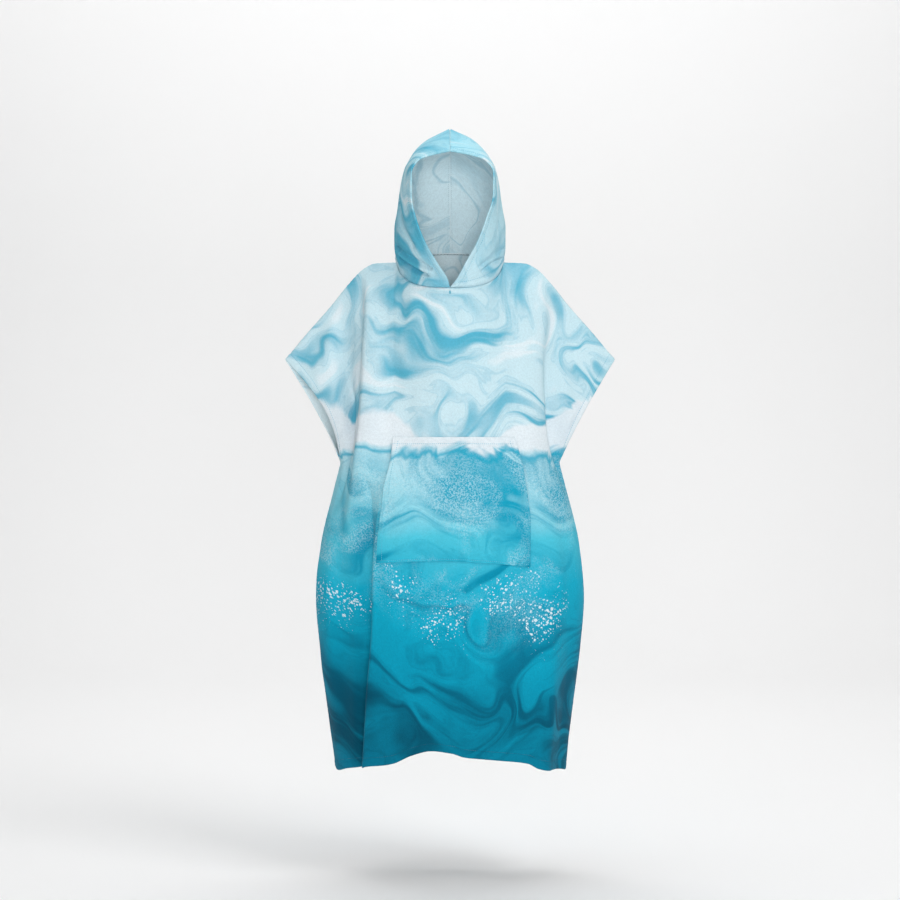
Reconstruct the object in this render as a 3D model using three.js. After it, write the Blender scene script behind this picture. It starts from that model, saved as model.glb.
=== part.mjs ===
// A hooded bath poncho in terry towelling, filled out as it is worn, with no wearer in it.
// It has the pieces that a maker cuts: a front and a back panel, each with its two short sleeves cut in
// one with it, the two halves of a hood, and one wide front pocket.
// Sizes are in millimetres and +Z is up. The front faces -Y, and +X is on the right of who looks at it.
// The origin is between the shoulders at the base of the neck, level with the shoulder seams.
import * as THREE from "three";

const { Vector3 } = THREE;
const { clamp, lerp, smoothstep, degToRad } = THREE.MathUtils;

// The cloth.
const CLOTH = 2.6;
const SEAM_GAP = 0.3;

// Heights are drops below the shoulder seams.
const UNDERARM_DROP = 440;
const HEM_DROP = 1118;

// Across a panel, a place is a share of its half width: 0 at the middle, -1 at the left edge, 1 at the right.
const NECK_SHARE = 1 / 3;
const SQUARENESS = 0.88;

// The shoulder seam, from the side of the neck to the sleeve's tip.
const SHOULDER = [
  { share: NECK_SHARE, out: 116, drop: 0 },
  { share: 0.42, out: 163, drop: 2 },
  { share: 0.48, out: 190, drop: 14 },
  { share: 0.56, out: 222, drop: 46 },
  { share: 0.7, out: 263, drop: 97 },
  { share: 0.85, out: 314, drop: 155 },
  { share: 1, out: 363, drop: 214 },
];

// The body's level sections, from the underarm to the hem.
const BODY = [
  { drop: UNDERARM_DROP, half: 240, front: 130, back: 108 },
  { drop: 500, half: 255, front: 137, back: 114 },
  { drop: 620, half: 283, front: 147, back: 124 },
  { drop: 740, half: 294, front: 153, back: 130 },
  { drop: 860, half: 284, front: 152, back: 130 },
  { drop: 1000, half: 267, front: 147, back: 127 },
  { drop: HEM_DROP, half: 251, front: 142, back: 124 },
];

// How the cloth leaves the shoulder and the neckline: out over the chest or back, and down.
// The last column is how firmly it hangs when it gets to the underarm.
const FALL = [
  { share: 0, out: 95, down: 250, hang: 330 },
  { share: 0.2, out: 135, down: 190, hang: 360 },
  { share: NECK_SHARE, out: 215, down: 90, hang: 420 },
  { share: 0.48, out: 190, down: 110, hang: 420 },
  { share: 0.7, out: 90, down: 220, hang: 330 },
  { share: 1, out: 0, down: 226, hang: 226 },
];

// How far the hem lies above its lowest point.
const FRONT_HEM = [
  { share: -1, lift: 10 },
  { share: -0.93, lift: 5 },
  { share: -0.85, lift: 6 },
  { share: -0.7, lift: 14 },
  { share: -0.52, lift: 22 },
  { share: -0.44, lift: 30 },
  { share: -0.35, lift: 33 },
  { share: -0.28, lift: 37 },
  { share: -0.18, lift: 52 },
  { share: -0.08, lift: 60 },
  { share: 0, lift: 56 },
  { share: 0.06, lift: 48 },
  { share: 0.22, lift: 41 },
  { share: 0.43, lift: 32 },
  { share: 0.5, lift: 21 },
  { share: 0.6, lift: 15 },
  { share: 0.82, lift: 10 },
  { share: 0.93, lift: 6 },
  { share: 1, lift: 11 },
];
const BACK_HEM = [
  { share: -1, lift: 10 },
  { share: -0.88, lift: 8 },
  { share: -0.5, lift: 30 },
  { share: 0, lift: 44 },
  { share: 0.5, lift: 30 },
  { share: 0.88, lift: 8 },
  { share: 1, lift: 11 },
];

// The sleeve openings: how far each panel's edge stands from the seam's plane, and goes in, halfway down.
const FRONT_SLEEVES = { stand: 30, leftIn: 28, rightIn: 6, reach: 0.62 };
const BACK_SLEEVES = { stand: 34, leftIn: 5, rightIn: 12, reach: 0.62 };

// The big lap fold at the left of the front. It starts as a flat strip, turns over more and more on its
// way down, and at the hem the outer layer covers the inner one.
const LAP_RADIUS = 8;
const LAP = [
  { drop: 0, share: -0.465, turn: 0, length: 72 },
  { drop: 70, share: -0.465, turn: 0, length: 72 },
  { drop: 430, share: -0.435, turn: 0, length: 62 },
  { drop: 520, share: -0.385, turn: 34, length: 24 },
  { drop: 640, share: -0.35, turn: 88, length: 20 },
  { drop: 800, share: -0.315, turn: 128, length: 34 },
  { drop: 960, share: -0.33, turn: 156, length: 56 },
  { drop: HEM_DROP, share: -0.375, turn: 168, length: 72 },
];
const LAP_FADE = 0.34;
const LAP_SIDE_FADE = 0.75;
const LAP_TURN_WEIGHT = 1.8;

// Soft folds. A row says where the fold is at that height, how deep it is in millimetres, negative for
// a trough, and how wide it is on its left and right.
const FRONT_FOLDS = [
  // The deep trough between the left sleeve and the chest.
  [
    { drop: 25, share: -0.53, depth: 0, left: 0.08, right: 0.06 },
    { drop: 130, share: -0.62, depth: -16, left: 0.08, right: 0.09 },
    { drop: 230, share: -0.715, depth: -26, left: 0.09, right: 0.09 },
    { drop: 290, share: -0.76, depth: -28, left: 0.08, right: 0.075 },
    { drop: 430, share: -0.82, depth: -20, left: 0.07, right: 0.055 },
    { drop: 560, share: -0.82, depth: 0, left: 0.08, right: 0.07 },
  ],
  // The ridge beside it, that hangs from the shoulder.
  [
    { drop: 40, share: -0.46, depth: 0, left: 0.05, right: 0.09 },
    { drop: 200, share: -0.5, depth: 12, left: 0.05, right: 0.12 },
    { drop: 400, share: -0.56, depth: 20, left: 0.06, right: 0.14 },
    { drop: 520, share: -0.58, depth: 12, left: 0.07, right: 0.14 },
    { drop: 640, share: -0.6, depth: 0, left: 0.08, right: 0.14 },
  ],
  // The step where the right sleeve goes behind the chest.
  [
    { drop: 60, share: 0.6, depth: 0, left: 0.05, right: 0.14 },
    { drop: 200, share: 0.64, depth: -18, left: 0.045, right: 0.16 },
    { drop: 340, share: 0.75, depth: -30, left: 0.05, right: 0.16 },
    { drop: 440, share: 0.86, depth: -16, left: 0.06, right: 0.1 },
    { drop: 520, share: 0.9, depth: 0, left: 0.08, right: 0.1 },
  ],
  // The shallow trough below the pocket.
  [
    { drop: 700, share: -0.08, depth: 0, left: 0.16, right: 0.2 },
    { drop: 900, share: -0.1, depth: -9, left: 0.15, right: 0.2 },
    { drop: HEM_DROP, share: -0.1, depth: -20, left: 0.14, right: 0.2 },
  ],
  // The soft ridge at the lower right, and the trough beyond it.
  [
    { drop: 560, share: 0.5, depth: 0, left: 0.12, right: 0.1 },
    { drop: 820, share: 0.53, depth: 8, left: 0.12, right: 0.09 },
    { drop: HEM_DROP, share: 0.56, depth: 14, left: 0.12, right: 0.08 },
  ],
  [
    { drop: 640, share: 0.72, depth: 0, left: 0.08, right: 0.1 },
    { drop: 900, share: 0.74, depth: -4, left: 0.07, right: 0.1 },
    { drop: HEM_DROP, share: 0.76, depth: -6, left: 0.07, right: 0.1 },
  ],
];
const BACK_FOLDS = [
  // The troughs between the sleeves and the back.
  [
    { drop: 40, share: -0.56, depth: 0, left: 0.1, right: 0.06 },
    { drop: 260, share: -0.64, depth: -28, left: 0.12, right: 0.07 },
    { drop: 430, share: -0.7, depth: -32, left: 0.1, right: 0.08 },
    { drop: 700, share: -0.66, depth: -20, left: 0.12, right: 0.09 },
    { drop: HEM_DROP, share: -0.6, depth: -24, left: 0.12, right: 0.09 },
  ],
  [
    { drop: 40, share: 0.56, depth: 0, left: 0.06, right: 0.1 },
    { drop: 260, share: 0.65, depth: -32, left: 0.07, right: 0.12 },
    { drop: 430, share: 0.7, depth: -36, left: 0.08, right: 0.1 },
    { drop: 640, share: 0.68, depth: -26, left: 0.08, right: 0.12 },
    { drop: HEM_DROP, share: 0.57, depth: -34, left: 0.07, right: 0.12 },
  ],
  // Two long folds that hang from the shoulder blades.
  [
    { drop: 260, share: -0.34, depth: 0, left: 0.1, right: 0.1 },
    { drop: 620, share: -0.3, depth: 9, left: 0.1, right: 0.1 },
    { drop: HEM_DROP, share: -0.28, depth: 20, left: 0.11, right: 0.11 },
  ],
  [
    { drop: 320, share: 0.24, depth: 0, left: 0.1, right: 0.1 },
    { drop: 700, share: 0.22, depth: 8, left: 0.1, right: 0.09 },
    { drop: HEM_DROP, share: 0.2, depth: 17, left: 0.1, right: 0.09 },
  ],
  [
    { drop: 500, share: -0.04, depth: 0, left: 0.1, right: 0.08 },
    { drop: HEM_DROP, share: -0.04, depth: -14, left: 0.1, right: 0.08 },
  ],
];

// Where the cloth's own form gives way to the seams: the folds fade out over this share of the yoke below
// the upper edge, and towards the side edges, and the sleeve's straight edge starts at its share.
const FOLD_FADE = { below: 0.12, side: 0.93 };
const SLEEVE_EDGE_START = 0.78;
const DRIFT = { from: 0.4, to: 0.8 };
// The corner where the neckline meets the shoulder seam is softened below it: how far across the cloth
// the softening reaches, where it fades out towards the sleeve, and how far down the corner is still felt.
const SOFTEN = { step: 0.04, from: 0.6, to: 0.85, felt: 0.36, weights: [1, 2, 3, 2, 1] };
const FLARE_STEP = 60;

// The neck seam, a loop that lies lower at the front. At its sides the cloth is mitred, and the mitre's
// rise is the last size.
const NECK = { half: 116, front: 97, back: 73, frontDrop: 64, backRise: 25, frontCurve: 1.3, mitre: 0.9 };

// The hood's rows, from the neck seam to the seam over the crown. Each row runs from the middle of the
// back, round the side, to the face edge.
const HOOD = [
  { row: 0, backY: 73, backZ: 25, sideZ: 0, half: 116, leftRim: 0, rightRim: 0, rimY: -97, rimZ: -64 },
  { row: 0.05, backY: 76, backZ: 38, sideZ: 10, half: 119, leftRim: 5, rightRim: 14, rimY: -103, rimZ: -47 },
  { row: 0.13, backY: 86, backZ: 61, sideZ: 32, half: 122, leftRim: 26, rightRim: 32, rimY: -110, rimZ: -15 },
  { row: 0.27, backY: 105, backZ: 98, sideZ: 72, half: 122, leftRim: 53, rightRim: 58, rimY: -117, rimZ: 30 },
  { row: 0.42, backY: 119, backZ: 138, sideZ: 116, half: 116, leftRim: 73, rightRim: 78, rimY: -119, rimZ: 80 },
  { row: 0.57, backY: 122, backZ: 176, sideZ: 160, half: 110, leftRim: 84, rightRim: 94, rimY: -117, rimZ: 132 },
  { row: 0.71, backY: 115, backZ: 209, sideZ: 201, half: 101, leftRim: 84, rightRim: 95, rimY: -112, rimZ: 180 },
  { row: 0.83, backY: 103, backZ: 235, sideZ: 237, half: 82, leftRim: 66, rightRim: 74, rimY: -106, rimZ: 211 },
  { row: 0.92, backY: 91, backZ: 251, sideZ: 266, half: 53, leftRim: 32, rightRim: 37, rimY: -101, rimZ: 223 },
  { row: 1, backY: 79, backZ: 263, sideZ: 293, half: 0, leftRim: 0, rightRim: 0, rimY: -98, rimZ: 230 },
];
// How a row's height sweeps from the side to the back seam and to the face edge, and how much of the
// half width the face edge can stand at.
const HOOD_SWEEP = { back: 1.5, front: 1.3 };
const HOOD_RAISE = 0.6;
const HOOD_CORNER = 0.01;
const HOOD_REACH = { crown: 0.85, most: 0.97 };

// The pocket's side edges: the hand openings slant out from a narrower top, and below them it is sewn.
const POCKET = [
  { drop: 386, left: -136, right: 145 },
  { drop: 505, left: -152, right: 166 },
  { drop: 560, left: -155, right: 172 },
  { drop: 656, left: -155, right: 171 },
];
const POCKET_SAG = { middle: -9, right: 8 };
const POCKET_SEAM = 0.9;
const POCKET_FULLNESS = 1.6;
const POCKET_CLEAR = 0.006;

// How many steps each piece has, along its edges and down. Steps grow finer towards a fold or a seam
// where their power is over 1.
const SIDE_POWER = 1.35;
const YOKE_POWER = 1.15;
const SHOULDER_STEPS = 12;
const RIGHT_SHOULDER_STEPS = 14;
const SIDE_STEPS = 10;
const LAP_STEPS = 14;
const NECK_STEPS = 16;
const YOKE_STEPS = 11;
const BODY_STEPS = 15;
const HOOD_STEPS = 16;
const POCKET_STEPS = { across: 15, down: 10 };

// A cubic between two values, with the slope at each end.
function ease(from, fromSlope, to, toSlope, t) {
  const rise = t * t * (3 - 2 * t);
  const leave = t * (1 - t) * (1 - t);
  const arrive = -t * t * (1 - t);
  return from + (to - from) * rise + fromSlope * leave + toSlope * arrive;
}

// The value of a table's column at a place between its rows, on a smooth curve that doesn't overshoot.
function curve(table, key, name, at) {
  const last = table.length - 1;
  const place = clamp(at, table[0][key], table[last][key]);
  let row = 0;
  while (row < last - 1 && place > table[row + 1][key]) {
    row += 1;
  }
  const secant = (k) => (table[k + 1][name] - table[k][name]) / (table[k + 1][key] - table[k][key]);
  const slope = (k) => {
    if (k === 0) return secant(0);
    if (k === last) return secant(last - 1);
    const [before, after] = [secant(k - 1), secant(k)];
    return before * after <= 0 ? 0 : (2 * before * after) / (before + after);
  };
  const span = table[row + 1][key] - table[row][key];
  const t = (place - table[row][key]) / span;
  return ease(table[row][name], slope(row) * span, table[row + 1][name], slope(row + 1) * span, t);
}

// A point of the neck seam: 0 degrees is the middle of the back, 90 the left side, 180 the middle front.
function neckPoint(degrees) {
  const angle = degToRad(degrees);
  const forward = -Math.cos(angle);
  const x = -NECK.half * Math.sin(angle);
  if (forward > 0) {
    const drop = NECK.frontDrop * (1 - (1 - forward) ** NECK.frontCurve);
    return new Vector3(x, -NECK.front * forward, -drop);
  }
  return new Vector3(x, -NECK.back * forward, -NECK.backRise * forward);
}

// The direction across the cloth's thickness at the neck seam, shared by the panels and the hood.
function neckMitre(degrees) {
  const angle = degToRad(degrees);
  const side = Math.sin(angle);
  return new Vector3(-side, Math.cos(angle), NECK.mitre * side).normalize();
}

const neckDegrees = (panel, share) => {
  const quarter = 90 * (1 - Math.abs(share) / NECK_SHARE);
  return 90 - panel.facing * quarter;
};

const FRONT = {
  facing: -1,
  depth: "front",
  hem: FRONT_HEM,
  sleeves: FRONT_SLEEVES,
  folds: FRONT_FOLDS,
  lap: LAP,
};
const BACK = {
  facing: 1,
  depth: "back",
  hem: BACK_HEM,
  sleeves: BACK_SLEEVES,
  folds: BACK_FOLDS,
};

// A panel's upper edge: the neckline in the middle, and a shoulder seam on each side.
function upperEdge(panel, share) {
  const hand = share < 0 ? -1 : 1;
  const away = Math.abs(share);
  if (away < NECK_SHARE) {
    const point = neckPoint(neckDegrees(panel, share));
    point.x = hand * Math.abs(point.x);
    return point;
  }
  const out = curve(SHOULDER, "share", "out", away);
  return new Vector3(hand * out, 0, -curve(SHOULDER, "share", "drop", away));
}

// The upper edge with its corners softened, which the cloth below it follows.
function softEdge(panel, share) {
  const total = SOFTEN.weights.reduce((sum, weight) => sum + weight, 0);
  const middle = (SOFTEN.weights.length - 1) / 2;
  const soft = new Vector3();
  SOFTEN.weights.forEach((weight, k) => {
    const near = clamp(share + (k - middle) * SOFTEN.step, -1, 1);
    soft.addScaledVector(upperEdge(panel, near), weight / total);
  });
  return soft;
}

// A point of the body's level section, before its folds.
function section(panel, share, drop) {
  const angle = (share * Math.PI) / 2;
  const across = Math.sign(share) * Math.abs(Math.sin(angle)) ** SQUARENESS;
  const deep = Math.max(Math.cos(angle), 0) ** SQUARENESS;
  const half = curve(BODY, "drop", "half", drop);
  const depth = curve(BODY, "drop", panel.depth, drop);
  return new Vector3(half * across, panel.facing * depth * deep, -drop);
}

// A panel's smooth form. Down is 0 at the upper edge, 1 at the underarm and 2 at the hem.
function smoothForm(panel, share, down) {
  if (down >= 1) {
    const below = down - 1;
    const point = section(panel, share, lerp(UNDERARM_DROP, HEM_DROP, below));
    point.z += curve(panel.hem, "share", "lift", share) * below ** 3;
    return point;
  }
  const away = Math.abs(share);
  const seam = upperEdge(panel, share);
  const from = softEdge(panel, share).lerp(seam, smoothstep(away, SOFTEN.from, SOFTEN.to));
  const to = section(panel, share, UNDERARM_DROP);
  const widen = section(panel, share, UNDERARM_DROP + FLARE_STEP).sub(to).normalize();
  const edge = smoothstep(away, SLEEVE_EDGE_START, 1);
  const out = curve(FALL, "share", "out", away);
  const hang = curve(FALL, "share", "hang", away);
  const drift = (to.x - from.x) * smoothstep(away, DRIFT.from, DRIFT.to);
  const leave = new Vector3(drift, panel.facing * out, -curve(FALL, "share", "down", away));
  const arrive = widen.multiplyScalar(hang).lerp(to.clone().sub(from), edge);
  const at = (axis) => ease(from[axis], leave[axis], to[axis], arrive[axis], down);
  const point = new Vector3(at("x"), at("y"), at("z"));
  point.addScaledVector(seam.sub(from), 1 - smoothstep(down, 0, SOFTEN.felt));
  const open = Math.sin(Math.PI * down) * smoothstep(away, panel.sleeves.reach, 1);
  const goesIn = share < 0 ? panel.sleeves.leftIn : panel.sleeves.rightIn;
  point.x -= Math.sign(share) * goesIn * open;
  point.y += panel.facing * panel.sleeves.stand * open;
  return point;
}

// The direction out of a surface given by a function of two places, from its own neighbours.
function outward(surface, across, down, low, high, facing) {
  const step = 1e-3;
  const gap = (a, b) => surface(...b).sub(surface(...a));
  const alongRow = gap([Math.max(across - step, low[0]), down], [Math.min(across + step, high[0]), down]);
  const alongColumn = gap([across, Math.max(down - step, low[1])], [across, Math.min(down + step, high[1])]);
  return alongRow.cross(alongColumn).multiplyScalar(facing).normalize();
}

// How far the soft folds move the cloth out at a place.
function foldDepth(panel, share, drop) {
  let depth = 0;
  for (const fold of panel.folds) {
    const first = fold[0].drop;
    const final = fold[fold.length - 1].drop;
    if (drop > first && drop <= final + 1) {
      const away = share - curve(fold, "drop", "share", drop);
      const width = curve(fold, "drop", away < 0 ? "left" : "right", drop);
      depth += curve(fold, "drop", "depth", drop) * Math.exp(-((away / width) ** 2));
    }
  }
  return depth;
}

// The lap fold's state at a height, in its own flat measures: the run along the panel and the rise out
// of it, which its two equal turns and the straight stretch between them make.
function lapState(panel, drop) {
  const turn = degToRad(curve(panel.lap, "drop", "turn", drop));
  const length = curve(panel.lap, "drop", "length", drop);
  const run = 2 * LAP_RADIUS * Math.sin(turn) + length * Math.cos(turn);
  const rise = 2 * LAP_RADIUS * (1 - Math.cos(turn)) + length * Math.sin(turn);
  const centre = curve(panel.lap, "drop", "share", drop);
  const perShare = section(panel, centre + 0.01, drop).distanceTo(section(panel, centre - 0.01, drop)) / 0.02;
  return { turn, length, run, rise, centre, perShare };
}

// A place in the lap fold, with 0 at its inner end and 1 at its outer end. The turns get more than
// their share of the columns, because they bend the most.
function lapPlace(state, along) {
  const { turn, length, run, rise } = state;
  const reach = LAP_RADIUS * LAP_TURN_WEIGHT;
  const at = along * (2 * reach * turn + length);
  const intoTurn = clamp(at / reach, 0, turn);
  const straight = clamp(at - reach * turn, 0, length);
  const outOfTurn = clamp((at - reach * turn - length) / reach, 0, turn);
  let x = LAP_RADIUS * Math.sin(intoTurn) + straight * Math.cos(turn);
  let y = LAP_RADIUS * (1 - Math.cos(intoTurn)) + straight * Math.sin(turn);
  x += LAP_RADIUS * (Math.sin(turn) - Math.sin(turn - outOfTurn));
  y += LAP_RADIUS * (Math.cos(turn - outOfTurn) - Math.cos(turn));
  return { x: x - run / 2, y: y - rise / 2 };
}

// The columns' places are kept in a flat measure, home, where the lap fold is still a flat strip.
const HOME = lapState(FRONT, 0);
const HOME_START = HOME.centre - HOME.run / 2 / HOME.perShare;
const HOME_END = HOME.centre + HOME.run / 2 / HOME.perShare;

// A panel's outer face with all its folds.
function panelFace(panel, home, down) {
  const drop = -smoothForm(panel, home, down).z;
  let share = home;
  let rise = 0;
  if (panel.lap) {
    const state = lapState(panel, drop);
    const start = state.centre - state.run / 2 / state.perShare;
    const end = state.centre + state.run / 2 / state.perShare;
    if (home < HOME_START) {
      share = lerp(-1, start, (home + 1) / (HOME_START + 1));
      rise = (-state.rise / 2) * Math.exp(-(((start - share) / LAP_FADE) ** 2));
      rise *= 1 - smoothstep(-share, LAP_SIDE_FADE, 1);
    } else if (home <= HOME_END) {
      const place = lapPlace(state, (home - HOME_START) / (HOME_END - HOME_START));
      share = state.centre + place.x / state.perShare;
      rise = place.y;
    } else if (home < 0) {
      share = (end * home) / HOME_END;
      rise = (state.rise / 2) * Math.exp(-(((share - end) / LAP_FADE) ** 2));
    } else {
      rise = (state.rise / 2) * Math.exp(-(((share - end) / LAP_FADE) ** 2));
    }
  }
  const form = (a, d) => smoothForm(panel, a, d);
  const point = form(share, down);
  const out = outward(form, share, down, [-1, 0], [1, 2], panel.facing);
  const settle = smoothstep(down, 0, FOLD_FADE.below) * (1 - smoothstep(Math.abs(share), FOLD_FADE.side, 1));
  return point.addScaledVector(out, (foldDepth(panel, share, drop) + rise) * settle);
}

const even = (steps, from, to) => Array.from({ length: steps + 1 }, (_, k) => lerp(from, to, k / steps));

// A closed wall between an outer and an inner grid of points.
function wallGeometry(outer, inner) {
  const rows = outer.length;
  const columns = outer[0].length;
  const points = [...outer.flat(), ...inner.flat()];
  const at = (row, column) => row * columns + column;
  const faces = [];
  const quad = (a, b, c, d) => faces.push(a, b, c, a, c, d);
  const skin = rows * columns;
  for (let row = 0; row + 1 < rows; row += 1) {
    for (let column = 0; column + 1 < columns; column += 1) {
      const [a, b] = [at(row, column), at(row, column + 1)];
      const [c, d] = [at(row + 1, column + 1), at(row + 1, column)];
      quad(a, b, c, d);
      quad(c + skin, b + skin, a + skin, d + skin);
    }
  }
  const rim = [];
  for (let column = 0; column + 1 < columns; column += 1) rim.push(at(0, column));
  for (let row = 0; row + 1 < rows; row += 1) rim.push(at(row, columns - 1));
  for (let column = columns - 1; column > 0; column -= 1) rim.push(at(rows - 1, column));
  for (let row = rows - 1; row > 0; row -= 1) rim.push(at(row, 0));
  rim.forEach((from, k) => {
    const to = rim[(k + 1) % rim.length];
    quad(to, from, from + skin, to + skin);
  });
  const geometry = new THREE.BufferGeometry();
  geometry.setAttribute("position", new THREE.Float32BufferAttribute(points.flatMap((p) => p.toArray()), 3));
  geometry.setIndex(faces);
  geometry.computeVertexNormals();
  return geometry;
}

// The columns of a panel, closer together where a fold needs them.
function panelColumns(panel) {
  const neck = even(NECK_STEPS, -NECK_SHARE, NECK_SHARE);
  if (!panel.lap) {
    const left = even(SHOULDER_STEPS, -1, -NECK_SHARE).slice(0, -1);
    return [...left, ...neck, ...even(SHOULDER_STEPS, NECK_SHARE, 1).slice(1)];
  }
  const left = even(SIDE_STEPS, 0, 1).map((t) => lerp(-1, HOME_START, 1 - (1 - t) ** SIDE_POWER));
  const right = even(RIGHT_SHOULDER_STEPS, NECK_SHARE, 1);
  const lap = even(LAP_STEPS, HOME_START, -NECK_SHARE).slice(0, -1);
  return [...left.slice(0, -1), ...lap, ...neck, ...right.slice(1)];
}

// The direction through the cloth at a place of a panel. At a seam it lies in the seam's plane, so that
// the pieces on its two sides meet all through their thickness.
function panelNormal(panel, home, down) {
  const onNeckline = down === 0 && Math.abs(home) < NECK_SHARE;
  if (onNeckline) {
    const out = neckMitre(neckDegrees(panel, home));
    out.x *= home < 0 ? 1 : -1;
    return out;
  }
  const face = (a, b) => panelFace(panel, a, b);
  const out = outward(face, home, down, [-1, 0], [1, 2], panel.facing);
  const onSeam = down === 0 || (Math.abs(home) === 1 && down >= 1);
  return onSeam ? out.setY(0).normalize() : out;
}

// Keeps a point on its own side of the plane where the front and back panels meet.
function keepApart(point, facing) {
  const limit = (facing * SEAM_GAP) / 2;
  point.y = facing < 0 ? Math.min(point.y, limit) : Math.max(point.y, limit);
  return point;
}

// The two faces of a piece of cloth, from its outer face and the direction through it.
function layers(rows, columns, face, through, place = (point) => point) {
  const grid = (depth) => rows.map((down) => columns.map((across) => {
    const point = face(across, down).addScaledVector(through(across, down), -depth);
    return place(point);
  }));
  return [grid(0), grid(CLOTH)];
}

// Turns both grids over, for a piece whose rows run the other way round.
const turned = (grids) => grids.map((grid) => [...grid].reverse());

function clothMesh(name, grids, material) {
  const mesh = new THREE.Mesh(wallGeometry(...grids), material);
  mesh.name = name;
  return mesh;
}

function panelMesh(name, panel, material) {
  const yoke = even(YOKE_STEPS, 0, 1).map((t) => t ** YOKE_POWER);
  const rows = [...yoke, ...even(BODY_STEPS, 1, 2).slice(1)];
  const face = (home, down) => panelFace(panel, home, down);
  const through = (home, down) => panelNormal(panel, home, down);
  const place = (point) => keepApart(point, panel.facing);
  const grids = layers(rows, panelColumns(panel), face, through, place);
  return clothMesh(name, panel.facing < 0 ? turned(grids) : grids, material);
}

// A point of a half of the hood, as on the left. Round is 0 at the middle of the back and 1 at the
// face edge, which the rim's column places.
function hoodFace(rim, round, row) {
  const at = (name) => curve(HOOD, "row", name, row);
  const half = at("half");
  const reach = row >= 1 ? HOOD_REACH.crown : clamp(at(rim) / half, 0, HOOD_REACH.most);
  const end = Math.PI - Math.asin(reach);
  const angle = round * end;
  const x = -half * Math.sin(angle);
  if (angle < Math.PI / 2) {
    const z = lerp(at("sideZ"), at("backZ"), Math.cos(angle) ** HOOD_SWEEP.back);
    return new Vector3(x, at("backY") * Math.cos(angle), z);
  }
  const forward = Math.cos(angle) / Math.cos(end);
  const z = lerp(at("sideZ"), at("rimZ"), forward ** HOOD_SWEEP.front);
  return new Vector3(x, at("rimY") * forward, z);
}

function hoodMesh(name, hand, material) {
  const surface = (round, row) => hoodFace(hand > 0 ? "leftRim" : "rightRim", round, row);
  const face = (round, row) => (row === 0 ? neckPoint(180 * round) : surface(round, row));
  const through = (round, row) => {
    if (row === 0) return neckMitre(180 * round);
    const [nearBack, nearCrown] = [Math.max(round, HOOD_CORNER), Math.min(row, 1 - HOOD_CORNER)];
    const out = outward(surface, nearBack, nearCrown, [0, 0], [1, 1], 1);
    return round === 0 || row === 1 ? out.setX(0).normalize() : out;
  };
  const place = (point) => {
    point.z += HOOD_RAISE;
    point.x = hand * Math.min(point.x, -SEAM_GAP / 2);
    return point;
  };
  const grids = layers(even(HOOD_STEPS, 0, 1), even(NECK_STEPS, 0, 1), face, through, place);
  return clothMesh(name, hand > 0 ? grids : turned(grids), material);
}

// How far down the front a height is, at a share across it.
const HALVINGS = 24;
function downAt(share, drop) {
  let [above, below] = [0, 2];
  for (let halving = 0; halving < HALVINGS; halving += 1) {
    const middle = (above + below) / 2;
    if (-smoothForm(FRONT, share, middle).z < drop) above = middle;
    else below = middle;
  }
  return (above + below) / 2;
}

// The share across the front of a point at x.
function shareAt(x, drop) {
  const half = curve(BODY, "drop", "half", drop);
  return (2 / Math.PI) * Math.asin((Math.abs(x) / half) ** (1 / SQUARENESS)) * Math.sign(x);
}

// The home place of a share of the front that is past the lap fold.
function homeAt(share, drop) {
  if (share > 0) return share;
  const state = lapState(FRONT, drop);
  const end = state.centre + state.run / 2 / state.perShare;
  return Math.max((share * HOME_END) / end, HOME_END + POCKET_CLEAR);
}

// The home place and the way down of a place on the pocket.
function pocketPlace(across, down) {
  const top = POCKET[0].drop;
  const bottom = POCKET[POCKET.length - 1].drop;
  const straight = lerp(top, bottom, down);
  const left = curve(POCKET, "drop", "left", straight);
  const right = curve(POCKET, "drop", "right", straight);
  const sag = POCKET_SAG.middle * Math.sin(Math.PI * across) + POCKET_SAG.right * across;
  const drop = straight + sag * down;
  const share = shareAt(lerp(left, right, across), Math.max(drop, UNDERARM_DROP));
  return [homeAt(share, drop), downAt(share, drop)];
}

// The pocket is the front's own face, moved out, with a little fullness in its middle.
function pocketMesh(name, material) {
  const face = (across, down) => {
    const [home, deep] = pocketPlace(across, down);
    const full = POCKET_FULLNESS * Math.sin(Math.PI * across) * Math.sin(Math.PI * down);
    const lift = POCKET_SEAM + full + CLOTH;
    return panelFace(FRONT, home, deep).addScaledVector(panelNormal(FRONT, home, deep), lift);
  };
  const through = (across, down) => panelNormal(FRONT, ...pocketPlace(across, down));
  const rows = even(POCKET_STEPS.down, 0, 1);
  const columns = even(POCKET_STEPS.across, 0, 1);
  return clothMesh(name, turned(layers(rows, columns, face, through)), material);
}

const towelling = (color) => new THREE.MeshStandardMaterial({ color, roughness: 0.95, metalness: 0 });

const poncho = new THREE.Group();
poncho.add(panelMesh("front_panel", FRONT, towelling(0x7cc8d6)));
poncho.add(panelMesh("back_panel", BACK, towelling(0x7cc8d6)));
poncho.add(hoodMesh("hood_left", 1, towelling(0xa9dbe2)));
poncho.add(hoodMesh("hood_right", -1, towelling(0xa9dbe2)));
poncho.add(pocketMesh("pocket", towelling(0x3fa9c4)));

export default poncho;
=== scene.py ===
import math

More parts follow.
